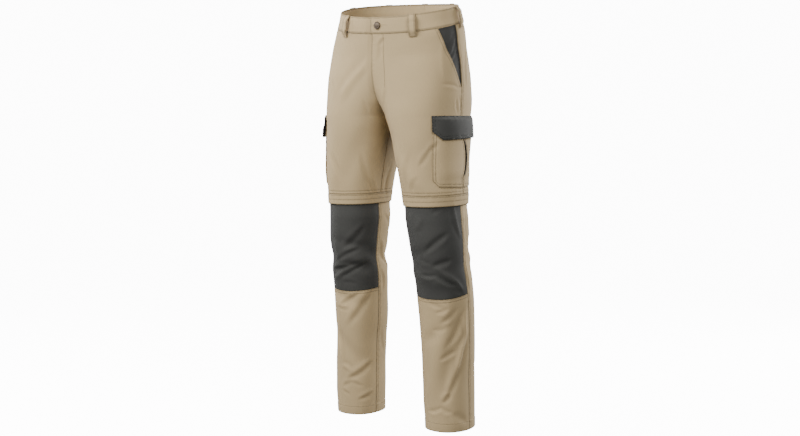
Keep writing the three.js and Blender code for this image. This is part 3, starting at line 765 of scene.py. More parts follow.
class Panel:
    """One cut piece: its edges, its seams and how far it lies off the form."""

    def __init__(self, node, side, kind, top, bottom, edges):
        self.node = node
        self.side = side
        self.form = FORMS[side]
        self.kind = kind
        self.top = top
        self.bottom = bottom
        self.edges = edges
        self.lift = lambda level, reach: 0.0
        self.dip = lambda level, share: level
        self.seams = {"first": (), "last": (), "top": (), "bottom": ()}
        self.near = dict.fromkeys(self.seams, NEAR)
        self.marks = ()
        self.shadow = None
        self.level_edge = None
        self.wall = None
        self.ring = False

    def distances(self, level, reach):
        """How far a place is from each edge."""
        first, last = self.edges(level)
        share = np.clip((reach - first) / (last - first), 0, 1)
        low = self.dip(np.full_like(level, self.bottom), share)
        high = self.dip(np.full_like(level, self.top), share)
        return {"first": reach - first, "last": last - reach, "top": high - level, "bottom": level - low}

    def reaches(self, distances, edge, row):
        """Whether a row of stitching runs here, or has turned the corner into the next edge's row."""
        across = ("top", "bottom") if edge in ("first", "last") else ("first", "last")
        shares = [np.clip(distances[side] - row + 1, 0, 1) for side in across if self.seams[side]]
        return math.prod(shares) if shares else 1.0

    def surface(self, level, reach):
        """How far the face lies off the form, and how much painted shade darkens the cloth there: along
        its edges and rows and in its own shadow.
        """
        distances = self.distances(level, reach)
        lift = self.lift(level, reach) + np.zeros_like(level)
        dark = np.zeros_like(level)
        for k, (edge, rows) in enumerate(self.seams.items()):
            if rows is None:
                continue
            distance = distances[edge]
            turn = crotch_turn(level) if edge == self.level_edge else 1
            lift = lift - EDGE_TURN * turn * (1 - ease(distance / EDGE_WIDTH))
            # painted shade along the turned-in edge
            dark = np.maximum(dark, EDGE_PAINTED_SHADE * bump(distance / EDGE_WIDTH))
            if rows:
                along = level if edge in ("first", "last") else reach
                lift = lift + pucker(distance, along, 1.3 * k + self.side)
            for row in rows:
                sewn = bump((distance - row) / ROW_WIDTH) * self.reaches(distances, edge, row)
                lift = lift - ROW_FURROW * sewn
                # painted shade in the row's furrow
                dark = np.maximum(dark, ROW_PAINTED_SHADE * sewn)
        for reach_at, top, bottom in self.marks:
            run = ease((level - bottom + 1) / 2) * ease((top + 1 - level) / 2)
            sewn = bump((reach - reach_at(level)) / ROW_WIDTH) * run
            lift = lift - ROW_FURROW * sewn
            # painted shade in the marked row's furrow
            dark = np.maximum(dark, ROW_PAINTED_SHADE * sewn)
        if self.shadow:
            dark = np.maximum(dark, self.shadow(level, reach))
        return lift, dark

    def rows(self):
        """The rows of stitching, as levels and reaches a millimetre or so apart."""
        steps = int(self.top - self.bottom)
        for edge, gap in [(edge, gap) for edge, gaps in self.seams.items() for gap in gaps or ()]:
            if edge in ("first", "last"):
                share = 0.0 if edge == "first" else 1.0
                level = self.dip(np.linspace(self.bottom, self.top, steps), share)
                first, last = self.edges(level)
                reach = first + gap if edge == "first" else last - gap
                limits = ("top", "bottom")
            else:
                share = np.linspace(0, 1, ROW_SAMPLES)
                level = self.dip(np.full(ROW_SAMPLES, float(getattr(self, edge))), share)
                level = level + (gap if edge == "bottom" else -gap)
                first, last = self.edges(level)
                reach = first + (last - first) * share
                limits = () if self.ring else ("first", "last")
            distances = self.distances(level, reach)
            kept = np.full(len(level), True)
            for limit in limits:
                kept &= distances[limit] >= (gap if self.seams[limit] else 1.0)
            yield level[kept], reach[kept]
        for reach_at, top, bottom in self.marks:
            level = np.linspace(top, bottom, int(top - bottom))
            yield level, reach_at(level)

    def grid(self, columns, rows):
        bm = bmesh.new()
        bmesh.ops.create_grid(bm, x_segments=columns, y_segments=rows, size=1)
        bm.verts.ensure_lookup_table()
        flat = np.array([v.co[:2] for v in bm.verts])
        i = np.rint((flat[:, 0] + 1) / 2 * columns).astype(int)
        j = np.rint((flat[:, 1] + 1) / 2 * rows).astype(int)
        return bm, (columns - i if self.side < 0 else i), j

    def build(self):
        step = settings().grain / MM
        first, last = self.edges(np.array([(self.top + self.bottom) / 2.0]))
        near = self.near
        columns = int(max(4, (last - first)[0] / step)) + len(near["first"]) + len(near["last"])
        rows = int(max(2, (self.top - self.bottom) / step)) + len(near["top"]) + len(near["bottom"])
        bm, i, j = self.grid(columns, rows)
        nominal = spaced(j, rows, self.bottom, self.top, near["bottom"], near["top"])
        first, last = self.edges(nominal)
        share = (spaced(i, columns, first, last, near["first"], near["last"]) - first) / (last - first)
        level = self.dip(nominal, share)
        first, last = self.edges(level)
        reach = spaced(i, columns, first, last, near["first"], near["last"])
        lift, dark = self.surface(level, reach)
        # Painted shade and light: darker at edges, rows, the slit and between the thighs, darker in
        # crease troughs and lighter on crease ridges.
        tone = (1 - dark) * (1 + CREASE_PAINTED_SHADING * np.clip(self.form.crease(level, reach), -3, 3))
        points = self.form.place(level, reach, lift)
        piece = self.finish(bm, points, np.stack([reach, level], -1) * MM, tone)
        self.declare()

    def finish(self, bm, points, flat, tone):
        uv = bm.loops.layers.uv.new("cloth")
        # The shade layer carries painted shade and light per vertex.
        painted_shading_layer = bm.verts.layers.float_color.new("shade")
        for k, vert in enumerate(bm.verts):
            vert.co = points[k]
            vert[painted_shading_layer] = (tone[k], tone[k], tone[k], 1)
        for face in bm.faces:
            for loop in face.loops:
                loop[uv].uv = flat[loop.vert.index]
        if self.ring:
            bmesh.ops.remove_doubles(bm, verts=bm.verts, dist=0.02 * MM)
        for edge in bm.edges:
            edge.smooth = not edge.is_boundary
        prefix = "tape_" if self.kind == "zip_tape" else "cloth_"
        piece = add_object(prefix + self.node, bm, self.kind, self.kind, self.node)
        wall = piece.modifiers.new("wall", "SOLIDIFY")
        wall.thickness = self.wall * MM if self.wall else settings().cloth_wall
        wall.offset = -1
        wall.use_quality_normals = True
        return piece

    def declare(self):
        """Works out the piece's widths at every level, and keeps nothing of them."""
        first, last = self.edges(np.linspace(self.bottom, self.top, CUT_SAMPLES))
        widths = (last - first) * MM


def add_bead(bm, centre, axes):
    """Adds a small ball stretched along three axes."""
    matrix = Matrix.Translation(centre) @ axes.transposed().to_4x4()
    bmesh.ops.create_icosphere(bm, subdivisions=1, radius=1, matrix=matrix)


class Stitching:
    """Rows of thread of one colour on one side of the trousers, joined into one mesh."""

    def __init__(self, side):
        self.side = side
        self.form = FORMS[side]
        self.bm = bmesh.new()

    def sew(self, panel):
        for level, reach in panel.rows():
            self.row(panel, level, reach)

    def row(self, panel, level, reach, pitch=None):
        """A row of stitches along places on a panel."""
        pitch = pitch or settings().stitch_pitch
        lift = panel.surface(level, reach)[0] + THREAD_RISE
        points = self.form.place(level, reach, lift)
        lengths = np.concatenate([[0], np.cumsum(np.linalg.norm(np.diff(points, axis=0), axis=1))])
        count = max(1, int(lengths[-1] / pitch))
        at = (np.arange(count) + 0.5) * lengths[-1] / count

        def sample(values, where):
            return np.interp(where, lengths, values)

        centre, ahead, behind = (
            np.stack([sample(points[:, k], at + shift) for k in range(3)], -1)
            for shift in (0, 0.3 * pitch, -0.3 * pitch)
        )
        stitch_level = sample(level, at)
        out = self.form.normal(stitch_level, self.form.angle(stitch_level, sample(reach, at)))
        for c, a, n in zip(centre, ahead - behind, out):
            self.bead(Vector(c), Vector(a), Vector(n), pitch * 0.4)

    def bead(self, centre, along, out, half):
        """One stitch: a slim ellipsoid of thread, half sunk in the cloth."""
        along = along.normalized()
        side = out.cross(along).normalized()
        radius = settings().thread
        axes = Matrix((along * half, side * radius, along.cross(side) * radius * THREAD_FLAT))
        add_bead(self.bm, centre, axes)

    def bar(self, panel, level, reach, length, upright=False):
        """A bartack: close stitches side by side."""
        shift = np.linspace(-0.5, 0.5, max(3, int(length / 0.7))) * length
        level = level + (shift if upright else 0 * shift)
        reach = reach + (0 * shift if upright else shift)
        lift = panel.surface(level, reach)[0] + 2 * THREAD_RISE
        centre = self.form.place(level, reach, lift)
        aside = (0, 1) if upright else (1, 0)
        across = self.form.place(level + aside[0], reach + aside[1], lift) - centre
        out = self.form.normal(level, self.form.angle(level, reach))
        for c, a, n in zip(centre, across, out):
            self.bead(Vector(c), Vector(a), Vector(n), BAR_HALF * MM)

    def done(self, name, kind, slot):
        add_object(name, self.bm, kind, slot)


def outseam(level):
    """The outseam lies a little behind the widest place, from the pocket's end to the zip."""
    below_waist = ease((WAIST_SEAM - level) / OUTSEAM_RUN)
    return OUTSEAM_BACK * below_waist * (1 - ease((OUTSEAM_END - level) / OUTSEAM_FADE))


def pocket_edge(level):
    """The front's outer edge: slanted along the pocket, then the outseam."""
    share = np.clip((level - POCKET_END) / (WAIST_SEAM - POCKET_END), 0, 1.2) ** POCKET_CURVE
    return outseam(level) + (POCKET_TOP_REACH - outseam(level)) * share


def fly_share(level):
    return 1 - ease((FLY_END - level) / FLY_FADE)


def fly_row(level):
    """Where the row that holds the fly's underlap runs: a little further from the middle downwards."""
    return FORMS[1].front(level) + FLY_ROW + (WAIST_SEAM - level) * FLY_ROW_LEAN


def leg_inset(level):
    """The leg passes under the storm flap with its zip."""
    return LEG_INSET * (1 - ease((SHORTS_HEM - level) / LEG_INSET_FADE))


# The shade between the thighs: where it starts, how far it reaches, how dark it is
CROTCH_TOP = -225
THIGH_SHADE = 85
THIGH_SHADE_FRONT = 26
THIGH_DARK = 0.5
THIGH_START = 30
THIGH_RUN = 130


def thigh_shadow(level, distance, width):
    """The shade between the thighs, which fades out this far from the inseam and towards the zip."""
    below = ease((CROTCH_TOP - level) / THIGH_START) * ease((level - ZIP_SEAM) / THIGH_RUN)
    return THIGH_DARK * ease(1 - distance / width) * below


def front_panel(side):
    form = FORMS[side]

    def edges(level):
        under = FLY_UNDERLAP * fly_share(level - FLY_FADE) if side < 0 else 0
        return form.front(level) + SEWN - under, pocket_edge(level) - SEWN

    def lift(level, reach):
        past = reach - form.front(level)
        if side > 0:
            return FLY_RISE * fly_share(level) * (1 - ease((past - 8) / 30))
        return -(LAP + 3 * SEAM) * fly_share(level) * (1 - ease((past - 3) / 11))

    name = "front_" + SIDES[side]
    panel = Panel(name, side, "tan_canvas", WAIST_SEAM - SEWN, ZIP_SEAM + SEWN, edges)
    panel.lift = lift
    panel.seams = {"first": (2.6,) if side > 0 else (), "last": (), "top": (), "bottom": (7.4,)}
    panel.marks = [
        (lambda level, gap=gap: pocket_edge(level) - gap, WAIST_SEAM - 2, POCKET_END)
        for gap in TWIN
    ]
    if side > 0:
        panel.marks.append((fly_row, WAIST_SEAM - 2, FLY_ROW_END))
        panel.near = {**panel.near, "first": NEAR_FLY}
    slit = slit_shadow(side, SLIT_SHADE)
    panel.shadow = lambda level, reach: np.maximum(
        slit(level, reach), thigh_shadow(level, reach - form.front(level), THIGH_SHADE_FRONT))
    panel.level_edge = "first"
    return panel


def back_panel(side):
    """The seat and the thigh's back, shaded where the thighs meet."""
    form = FORMS[side]

    def edges(level):
        return outseam(level) + SEWN, form.back(level) - SEWN

    panel = Panel("back_" + SIDES[side], side, "tan_canvas", WAIST_SEAM - SEWN, ZIP_SEAM + SEWN, edges)
    panel.seams = {"first": TWIN, "last": TWIN if side > 0 else (), "top": (), "bottom": (7.4,)}
    slit = slit_shadow(side, SLIT_SHADE)
    panel.shadow = lambda level, reach: np.maximum(
        slit(level, reach), thigh_shadow(level, form.back(level) - reach, THIGH_SHADE))
    panel.level_edge = "last"
    return panel


def facing_panel(side):
    def edges(level):
        return pocket_edge(level) - POCKET_TUCK, outseam(level) + 4

    name = "pocket_facing_" + SIDES[side]
    panel = Panel(name, side, "grey_canvas", WAIST_SEAM - SEWN, POCKET_END + 4, edges)
    panel.lift = lambda level, reach: FACING_LIFT
    panel.seams = dict.fromkeys(panel.seams)
    panel.near = dict.fromkeys(panel.near, (0,))
    return panel


def waistband_panel(side):
    form = FORMS[side]

    def edges(level):
        past = BAND_OVERLAP if side > 0 else BAND_UNDERLAP
        return form.front(level) + SEWN - past, form.back(level)

    def lift(level, reach):
        if side > 0:
            return BAND_LIFT
        past = reach - form.front(level)
        return BAND_LIFT - (BAND_WALL + 2 * SEAM) * (1 - ease((past - 7) / 12))

    panel = Panel("waistband_" + SIDES[side], side, "tan_canvas", WAIST_TOP, WAIST_SEAM, edges)
    panel.lift = lift
    panel.wall = BAND_WALL
    panel.seams = {"first": (3,) if side > 0 else (), "last": None, "top": (2.9,), "bottom": (2.9,)}
    panel.near = {**panel.near, "last": (0,)}
    return panel


# Each loop's side and its place, as a share of the reach to the centre front (negative) or back
LOOPS = (
    ("belt_loop_front_left", 1, -0.51),
    ("belt_loop_front_right", -1, -0.59),
    ("belt_loop_side_left", 1, 0.09),
    ("belt_loop_side_right", -1, 0.09),
    ("belt_loop_back_left", 1, 0.54),
    ("belt_loop_back_right", -1, 0.54),
    ("belt_loop_centre_back", 1, 1),
)
LOOP_WIDTH = 18
LOOP_TOP = WAIST_TOP + 1
LOOP_BOTTOM = WAIST_SEAM - 12
LOOP_WALL = 1.8
LOOP_RISE = 7
LOOP_SHOULDER = 0.28


def loop_panel(name, side, share):
    form = FORMS[side]

    def edges(level):
        centre = -share * form.front(level) if share < 0 else share * form.back(level)
        return centre - LOOP_WIDTH / 2, centre + LOOP_WIDTH / 2

    def lift(level, reach):
        down = (LOOP_TOP - level) / (LOOP_TOP - LOOP_BOTTOM)
        arch = ease(down / LOOP_SHOULDER) * ease((1 - down) / LOOP_SHOULDER)
        return BAND_LIFT + SEAM + LOOP_WALL + LOOP_RISE * arch

    panel = Panel(name, side, "tan_canvas", LOOP_TOP, LOOP_BOTTOM, edges)
    panel.lift = lift
    panel.wall = LOOP_WALL
    panel.near = dict.fromkeys(panel.near, NEAR_LOOP)
    panel.seams = {"first": (3,), "last": (3,), "top": None, "bottom": None}
    return panel


# The cargo pockets, their slits and their flaps, by reach and level as the solids have them
CARGO_HALF = 80
CARGO_TOP = -264
CARGO_BOTTOM = -421
CARGO_CORNER = 14
CARGO_CUT = 16
CARGO_DROP = 8
CARGO_PUFF = {1: 8, -1: 4.6}
PUFF_EDGE = 42
PUFF_HEAD = 45
CARGO_MOUTH = -240
CARGO_BASE = 0.8
CARGO_TILT = 0.03
CARGO_RAISE = {1: 0, -1: 4}
SLIT_REACH = 6
SLIT_BOW = 17
SLIT_TOP = -308
SLIT_BOTTOM = -404
SLIT_GAPE = 3.2
SLIT_SHADE = 12
SLIT_LIP = 7.4
SLIT_FADE = 1.8
SLIT_DARK = 0.93
FLAP_HALF = 84
FLAP_ROOT = -253
FLAP_SIDE = -290
FLAP_POINT = -311
FLAP_RISE = 7
FLAP_CHAMFER = 24
FLAP_CLEAR = 0.8
FLAP_WALL = 2
FLAP_FIRST_ROW = 0.2
FLAP_RAISE = {1: 0, -1: 10}
FLAP_PROUD = {1: 3, -1: 6.5}


def cargo_bottom(reach):
    """The pocket's lower edge: it falls towards the middle of the side, and both corners are cut off."""
    fall = np.minimum(1, (CARGO_HALF + reach) / CARGO_HALF)
    corner = np.maximum(0, np.abs(reach) - (CARGO_HALF - CARGO_CORNER)) / CARGO_CORNER
    return CARGO_BOTTOM - CARGO_DROP * fall + CARGO_CUT * corner


def cargo_puff(side, level, reach):
    """How far the pocket stands off the leg: nothing at its sewn edges, most at the middle."""
    def rise(distance):
        return np.sin(math.pi / 2 * np.clip(distance, 0, 1))

    flank = rise((CARGO_HALF - np.abs(reach)) / PUFF_EDGE)
    foot = rise((level - cargo_bottom(reach)) / PUFF_EDGE)
    head = rise((CARGO_MOUTH - level) / PUFF_HEAD)
    return CARGO_PUFF[side] * flank * foot * head


def cargo_shift(side, reach):
    """How far the pocket's own levels lie above the leg's."""
    return CARGO_TILT * (reach + CARGO_HALF) + CARGO_RAISE[side]


def cargo_panel(side, part):
    front = part == "front"

    def edges(level):
        own = level - cargo_shift(side, SLIT_REACH + SLIT_BOW / 2)
        bow = np.sin(math.pi * np.clip((SLIT_TOP - own) / (SLIT_TOP - SLIT_BOTTOM), 0, 1))
        slit = SLIT_REACH + SLIT_BOW * bow + (-1 if front else 1) * (SEAM / 2 + SLIT_GAPE * bow)
        outer = np.full_like(slit, CARGO_HALF)
        return (-outer, slit) if front else (slit, outer)

    def dip(level, share):
        first, last = edges(level)
        reach = first + (last - first) * share
        down = (CARGO_TOP - level) / (CARGO_TOP - CARGO_BOTTOM)
        return CARGO_TOP - down * (CARGO_TOP - cargo_bottom(reach)) + cargo_shift(side, reach)

    def lift(level, reach):
        return CARGO_BASE + CLOTH + cargo_puff(side, level - cargo_shift(side, reach), reach)

    name = "cargo_pocket_" + part + "_" + SIDES[side]
    panel = Panel(name, side, "tan_canvas", CARGO_TOP, CARGO_BOTTOM, edges)
    panel.dip = dip
    panel.lift = lift
    panel.seams = {"first": TWIN, "last": TWIN, "top": None, "bottom": TWIN}
    if not front:
        panel.shadow = slit_shadow(side, SLIT_LIP)
    return panel


def slit_shadow(side, width):
    """The shade in the pocket's slit, this far to each side of its middle."""
    def shadow(level, reach):
        own = level - cargo_shift(side, SLIT_REACH + SLIT_BOW / 2)
        share = np.clip((SLIT_TOP - own) / (SLIT_TOP - SLIT_BOTTOM), 0, 1)
        bow = np.sin(math.pi * share)
        aside = np.abs(reach - SLIT_REACH - SLIT_BOW * bow)
        return SLIT_DARK * ease((width - aside) / SLIT_FADE) * ease(5 * bow)

    return shadow


def flap_edge(reach):
    """The flap's lower edge: it rises a little towards the back, and both corners are cut off."""
    chamfer = np.minimum(1, (FLAP_HALF - np.abs(reach)) / FLAP_CHAMFER)
    point = FLAP_POINT + FLAP_RISE * (FLAP_HALF + reach) / (2 * FLAP_HALF)
    return FLAP_SIDE + (point - FLAP_SIDE) * chamfer


def flap_panel(side):
    def shift(reach):
        return CARGO_TILT * (reach + CARGO_HALF) + FLAP_RAISE[side]

    def edges(level):
        half = np.full_like(level, FLAP_HALF)
        return -half, half

    def dip(level, share):
        reach = FLAP_HALF * (2 * share - 1)
        down = (FLAP_ROOT - level) / (FLAP_ROOT - FLAP_POINT)
        return FLAP_ROOT + (flap_edge(reach) - FLAP_ROOT) * down + shift(reach)

    def lift(level, reach):
        own = level - shift(reach)
        share = np.clip((FLAP_ROOT - own) / (FLAP_ROOT - flap_edge(reach)), 0, 1)
        under = np.minimum(own + FLAP_RAISE[side] - CARGO_RAISE[side], CARGO_TOP)
        over = (CLOTH + cargo_puff(side, under, reach) + FLAP_CLEAR) * ease(share / FLAP_FIRST_ROW)
        waves = 0.5 * np.sin(reach / 9 + side) * np.sin(reach / 23) * share
        return CARGO_BASE + over + FLAP_PROUD[side] * share**2 + FLAP_WALL + waves

    panel = Panel("cargo_flap_" + SIDES[side], side, "grey_canvas", FLAP_ROOT, FLAP_POINT, edges)
    panel.dip = dip
    panel.lift = lift
    panel.wall = FLAP_WALL
    panel.seams = {"first": TWIN, "last": TWIN, "top": (2.3,), "bottom": TWIN}
    return panel


def ring_panel(node, side, kind, top, bottom):
    form = FORMS[side]
    panel = Panel(node, side, kind, top, bottom, lambda level: (form.front(level), form.back(level)))
    panel.ring = True
    panel.near = {"first": (0,), "last": (0,), "top": NEAR_PLAIN, "bottom": NEAR_PLAIN}
    panel.seams = {"first": None, "last": None, "top": (), "bottom": ()}
    return panel


def storm_flap_panel(side):
    panel = ring_panel("storm_flap_" + SIDES[side], side, "tan_canvas", ZIP_SEAM, SHORTS_HEM)
    panel.lift = lambda level, reach: FLAP_STEP
    panel.seams["top"] = STORM_ROWS
    panel.near["top"] = NEAR_STORM
    return panel


def zip_panel(side):
    panel = ring_panel("zip_" + SIDES[side], side, "zip_tape", ZIP_SEAM - SEAM, ZIP_BOTTOM)
    panel.lift = lambda level, reach: -LAP
    panel.wall = ZIP_WALL
    panel.seams = dict.fromkeys(panel.seams)
    return panel


def knee_dip(side):
    """The seam below the knee dips in the middle, and the rows near it follow that dip."""
    low, drop = KNEE_DIP[side]

    def dip(level, share):
        near = 1 - ease(np.abs(level - KNEE_SEAM) / KNEE_DIP_FADE)
        return level - (low + drop * np.sin(math.pi * share)) * near
    return dip


def hem_fold(level):
    return HEM_FOLD * (1 - ease((level - (LEG_HEM + HEM_DEPTH)) / HEM_STEP))


def leg_front(side):
    """The edges of the knee and the shin panel: the inseam and the outseam."""
    return lambda level: (FORMS[side].front(level) + SEWN, outseam(level) - SEWN)


def knee_panel(side):
    name = "knee_panel_" + SIDES[side]
    panel = Panel(name, side, "grey_canvas", LEG_TOP, KNEE_SEAM, leg_front(side))
    panel.lift = lambda level, reach: leg_inset(level)
    panel.dip = knee_dip(side)
    panel.seams = {"first": (), "last": (), "top": None, "bottom": ()}
    panel.near = dict.fromkeys(panel.near, NEAR_PLAIN)
    return panel


def shin_panel(side):
    name = "shin_panel_" + SIDES[side]
    panel = Panel(name, side, "tan_canvas", KNEE_SEAM - SEWN, LEG_HEM, leg_front(side))
    panel.lift = lambda level, reach: hem_fold(level)
    panel.dip = knee_dip(side)
    panel.near = {"first": NEAR_PLAIN, "last": NEAR_PLAIN, "top": NEAR, "bottom": NEAR_HEM}
    panel.seams = {"first": (), "last": (), "top": TWIN, "bottom": (HEM_ROW,)}
    return panel


def calf_panel(side):
    form = FORMS[side]

    def edges(level):
        return outseam(level) + SEWN, form.back(level) - SEWN

    panel = Panel("calf_panel_" + SIDES[side], side, "tan_canvas", LEG_TOP, LEG_HEM, edges)
    panel.lift = lambda level, reach: leg_inset(level) + hem_fold(level)
    panel.near = {"first": NEAR, "last": NEAR, "top": (0,), "bottom": NEAR_HEM}
    panel.seams = {"first": TWIN, "last": TWIN, "top": None, "bottom": (HEM_ROW,)}
    return panel


# Trims


BUTTON_RADIUS = 9
BUTTON_HEIGHT = 3.6
BUTTON_PAST_FRONT = 17
BUTTON_LEVEL = -2
BUTTONHOLE = 31
BUTTONHOLE_HALF = 11.5
BUTTON_STEPS = 48
TEETH_LEVEL = -459
TEETH_PITCH = 2.1
TOOTH = (0.65, 2.2, 0.45)
BAR = 7
BAR_LONG = 8
BUTTON_OUTLINE = ((0, 0), (0.8, 0), (0.93, 0.06), (1, 0.25), (1, 0.55), (0.95, 0.75), (0.86, 0.86),
                  (0.78, 0.84), (0.71, 0.76), (0.66, 0.8), (0.45, 0.95), (0.22, 1.02), (0, 1.04))


def build_button():
    """A shank button: a rolled rim round a shallow dome, turned from one outline."""
    bm = bmesh.new()
    outline = [(x * BUTTON_RADIUS * MM, 0, z * BUTTON_HEIGHT * MM) for x, z in BUTTON_OUTLINE]
    points = [bm.verts.new(place) for place in outline]
    edges = [bm.edges.new(pair) for pair in zip(points, points[1:])]
    bmesh.ops.spin(bm, geom=points + edges, cent=(0, 0, 0), axis=(0, 0, 1), angle=2 * math.pi,
                   steps=BUTTON_STEPS, use_merge=True)
    bmesh.ops.remove_doubles(bm, verts=bm.verts, dist=0.01 * MM)
    bmesh.ops.recalc_face_normals(bm, faces=bm.faces)
    form = FORMS[1]
    reach = form.front(BUTTON_LEVEL) + BUTTON_PAST_FRONT
    lift = BAND_LIFT + SEAM
    place = form.place(np.array([BUTTON_LEVEL]), np.array([reach]), np.array([lift]))[0]
    turn = form.out(BUTTON_LEVEL, reach).to_track_quat("Z", "Y").to_matrix().to_4x4()
    bmesh.ops.transform(bm, matrix=Matrix.Translation(Vector(place)) @ turn, verts=bm.verts)
    add_object("metal_button", bm, "button_metal", "button_metal", "button")


def build_zip_teeth(side):
    """The coil of the zip, a tooth every two millimetres round the leg."""
    form = FORMS[side]
    bm = bmesh.new()
    front, back = float(form.front(TEETH_LEVEL)), float(form.back(TEETH_LEVEL))
    count = int((back - front) / TEETH_PITCH)
    reach = front + (np.arange(count) + 0.5) * (back - front) / count
    level = np.full(count, float(TEETH_LEVEL))
    centre = form.place(level, reach, -LAP)
    out = form.normal(level, form.angle(level, reach))
    up = Vector((0, 0, 1))
    for c, n in zip(centre, out):
        n = Vector(n)
        along = up.cross(n).normalized()
        axes = Matrix([axis * size * MM for axis, size in zip((along, up, n), TOOTH)])
        add_bead(bm, Vector(c), axes)
    add_object("zip_coil_" + SIDES[side], bm, "zip_coil", "zip_tape")


# Sewing


def tan_panels(side):
    """Every tan panel of one side that has rows of stitching."""
    panels = [front_panel(side), back_panel(side), waistband_panel(side), storm_flap_panel(side)]
    panels += [shin_panel(side), calf_panel(side), cargo_panel(side, "front"), cargo_panel(side, "rear")]
    return panels


def sew_side(side):
    """Every row of stitching and every bartack on one side of the trousers."""
    tan = Stitching(side)
    for panel in tan_panels(side):
        tan.sew(panel)
    for name, loop_side, share in LOOPS:
        if loop_side == side:
            loop = loop_panel(name, side, share)
            tan.sew(loop)
            for level in (LOOP_TOP - 2.2, LOOP_BOTTOM + 2.2):
                first, last = loop.edges(level)
                tan.bar(loop, level, (first + last) / 2, LOOP_WIDTH - 3)
    sew_front(tan, side)
    tan.done("stitches_tan_" + SIDES[side], "tan_thread", "tan_canvas")
    grey = Stitching(side)
    flap = flap_panel(side)
    grey.sew(flap)
    for sign in (-1, 1):
        reach = sign * (FLAP_HALF - 4)
        grey.bar(flap, flap.dip(FLAP_ROOT - 3.0, 0.5 + sign / 2), reach, BAR)
    grey.done("stitches_grey_" + SIDES[side], "grey_thread", "grey_canvas")


def sew_front(tan, side):
    """Bartacks at the ends of the pocket and the fly, and the buttonhole."""
    front = front_panel(side)
    for level in (WAIST_SEAM - 8.0, POCKET_END + 2.0):
        tan.bar(front, level, pocket_edge(level) - 4.8, BAR)
    if side > 0:
        tan.bar(front, FLY_END - 9.0, FORMS[1].front(FLY_END - 9.0) + 4, BAR_LONG)
        tan.bar(front, FLY_ROW_END, fly_row(FLY_ROW_END), BAR_LONG, True)
        band = waistband_panel(side)
        turn = np.linspace(0, 2 * math.pi, 90)
        reach = FORMS[1].front(BUTTON_LEVEL) + BUTTONHOLE + BUTTONHOLE_HALF * np.cos(turn)
        tan.row(band, BUTTON_LEVEL + 1.6 * np.sin(turn), reach, pitch=0.0011)


# Stage


VIEW_AZIMUTH = math.radians(37)
VIEW_PITCH = math.atan(0.063)
VIEW_DISTANCE = 2.5
VIEW_HEIGHT = -0.344
LENS = 45
VIEW_SHIFT = 0.003

# Each softbox: its setting, its azimuth in degrees, its height, distance and size in metres
LIGHTS = (
    ("key", -22, 1.1, 2.0, 1.8),
    ("fill", 56, 1.0, 2.9, 1.8),
    ("edge", -88, 0.9, 2.5, 1.2),
    ("rim", 158, 0.5, 2.6, 1.4),
)
LIGHT_AIM = -0.5
WORLD_LIGHT = 0.25
SWEEP_RADIUS = 3.6
SWEEP_BEND = 1.2
SWEEP_WALL = 4
SWEEP_SEGMENTS = 96
SWEEP_STEPS = 8
SWEEP_LIGHT = 12.0


def build_camera():
    """The camera of the main view, tipped slightly downwards."""
    toward = Vector((math.sin(VIEW_AZIMUTH), -math.cos(VIEW_AZIMUTH), 0))
    place = toward * VIEW_DISTANCE
    place.z = VIEW_HEIGHT
    look = -toward * math.cos(VIEW_PITCH)
    look.z = -math.sin(VIEW_PITCH)
    lens = bpy.data.cameras.new("camera")
    lens.lens = LENS
    lens.sensor_width = 36
    lens.shift_x = VIEW_SHIFT
    lens.clip_start = 0.05
    camera = bpy.data.objects.new("camera", lens)
    camera.location = place
    camera.rotation_euler = look.to_track_quat("-Z", "Y").to_euler()
    bpy.context.scene.collection.objects.link(camera)
    bpy.context.scene.camera = camera


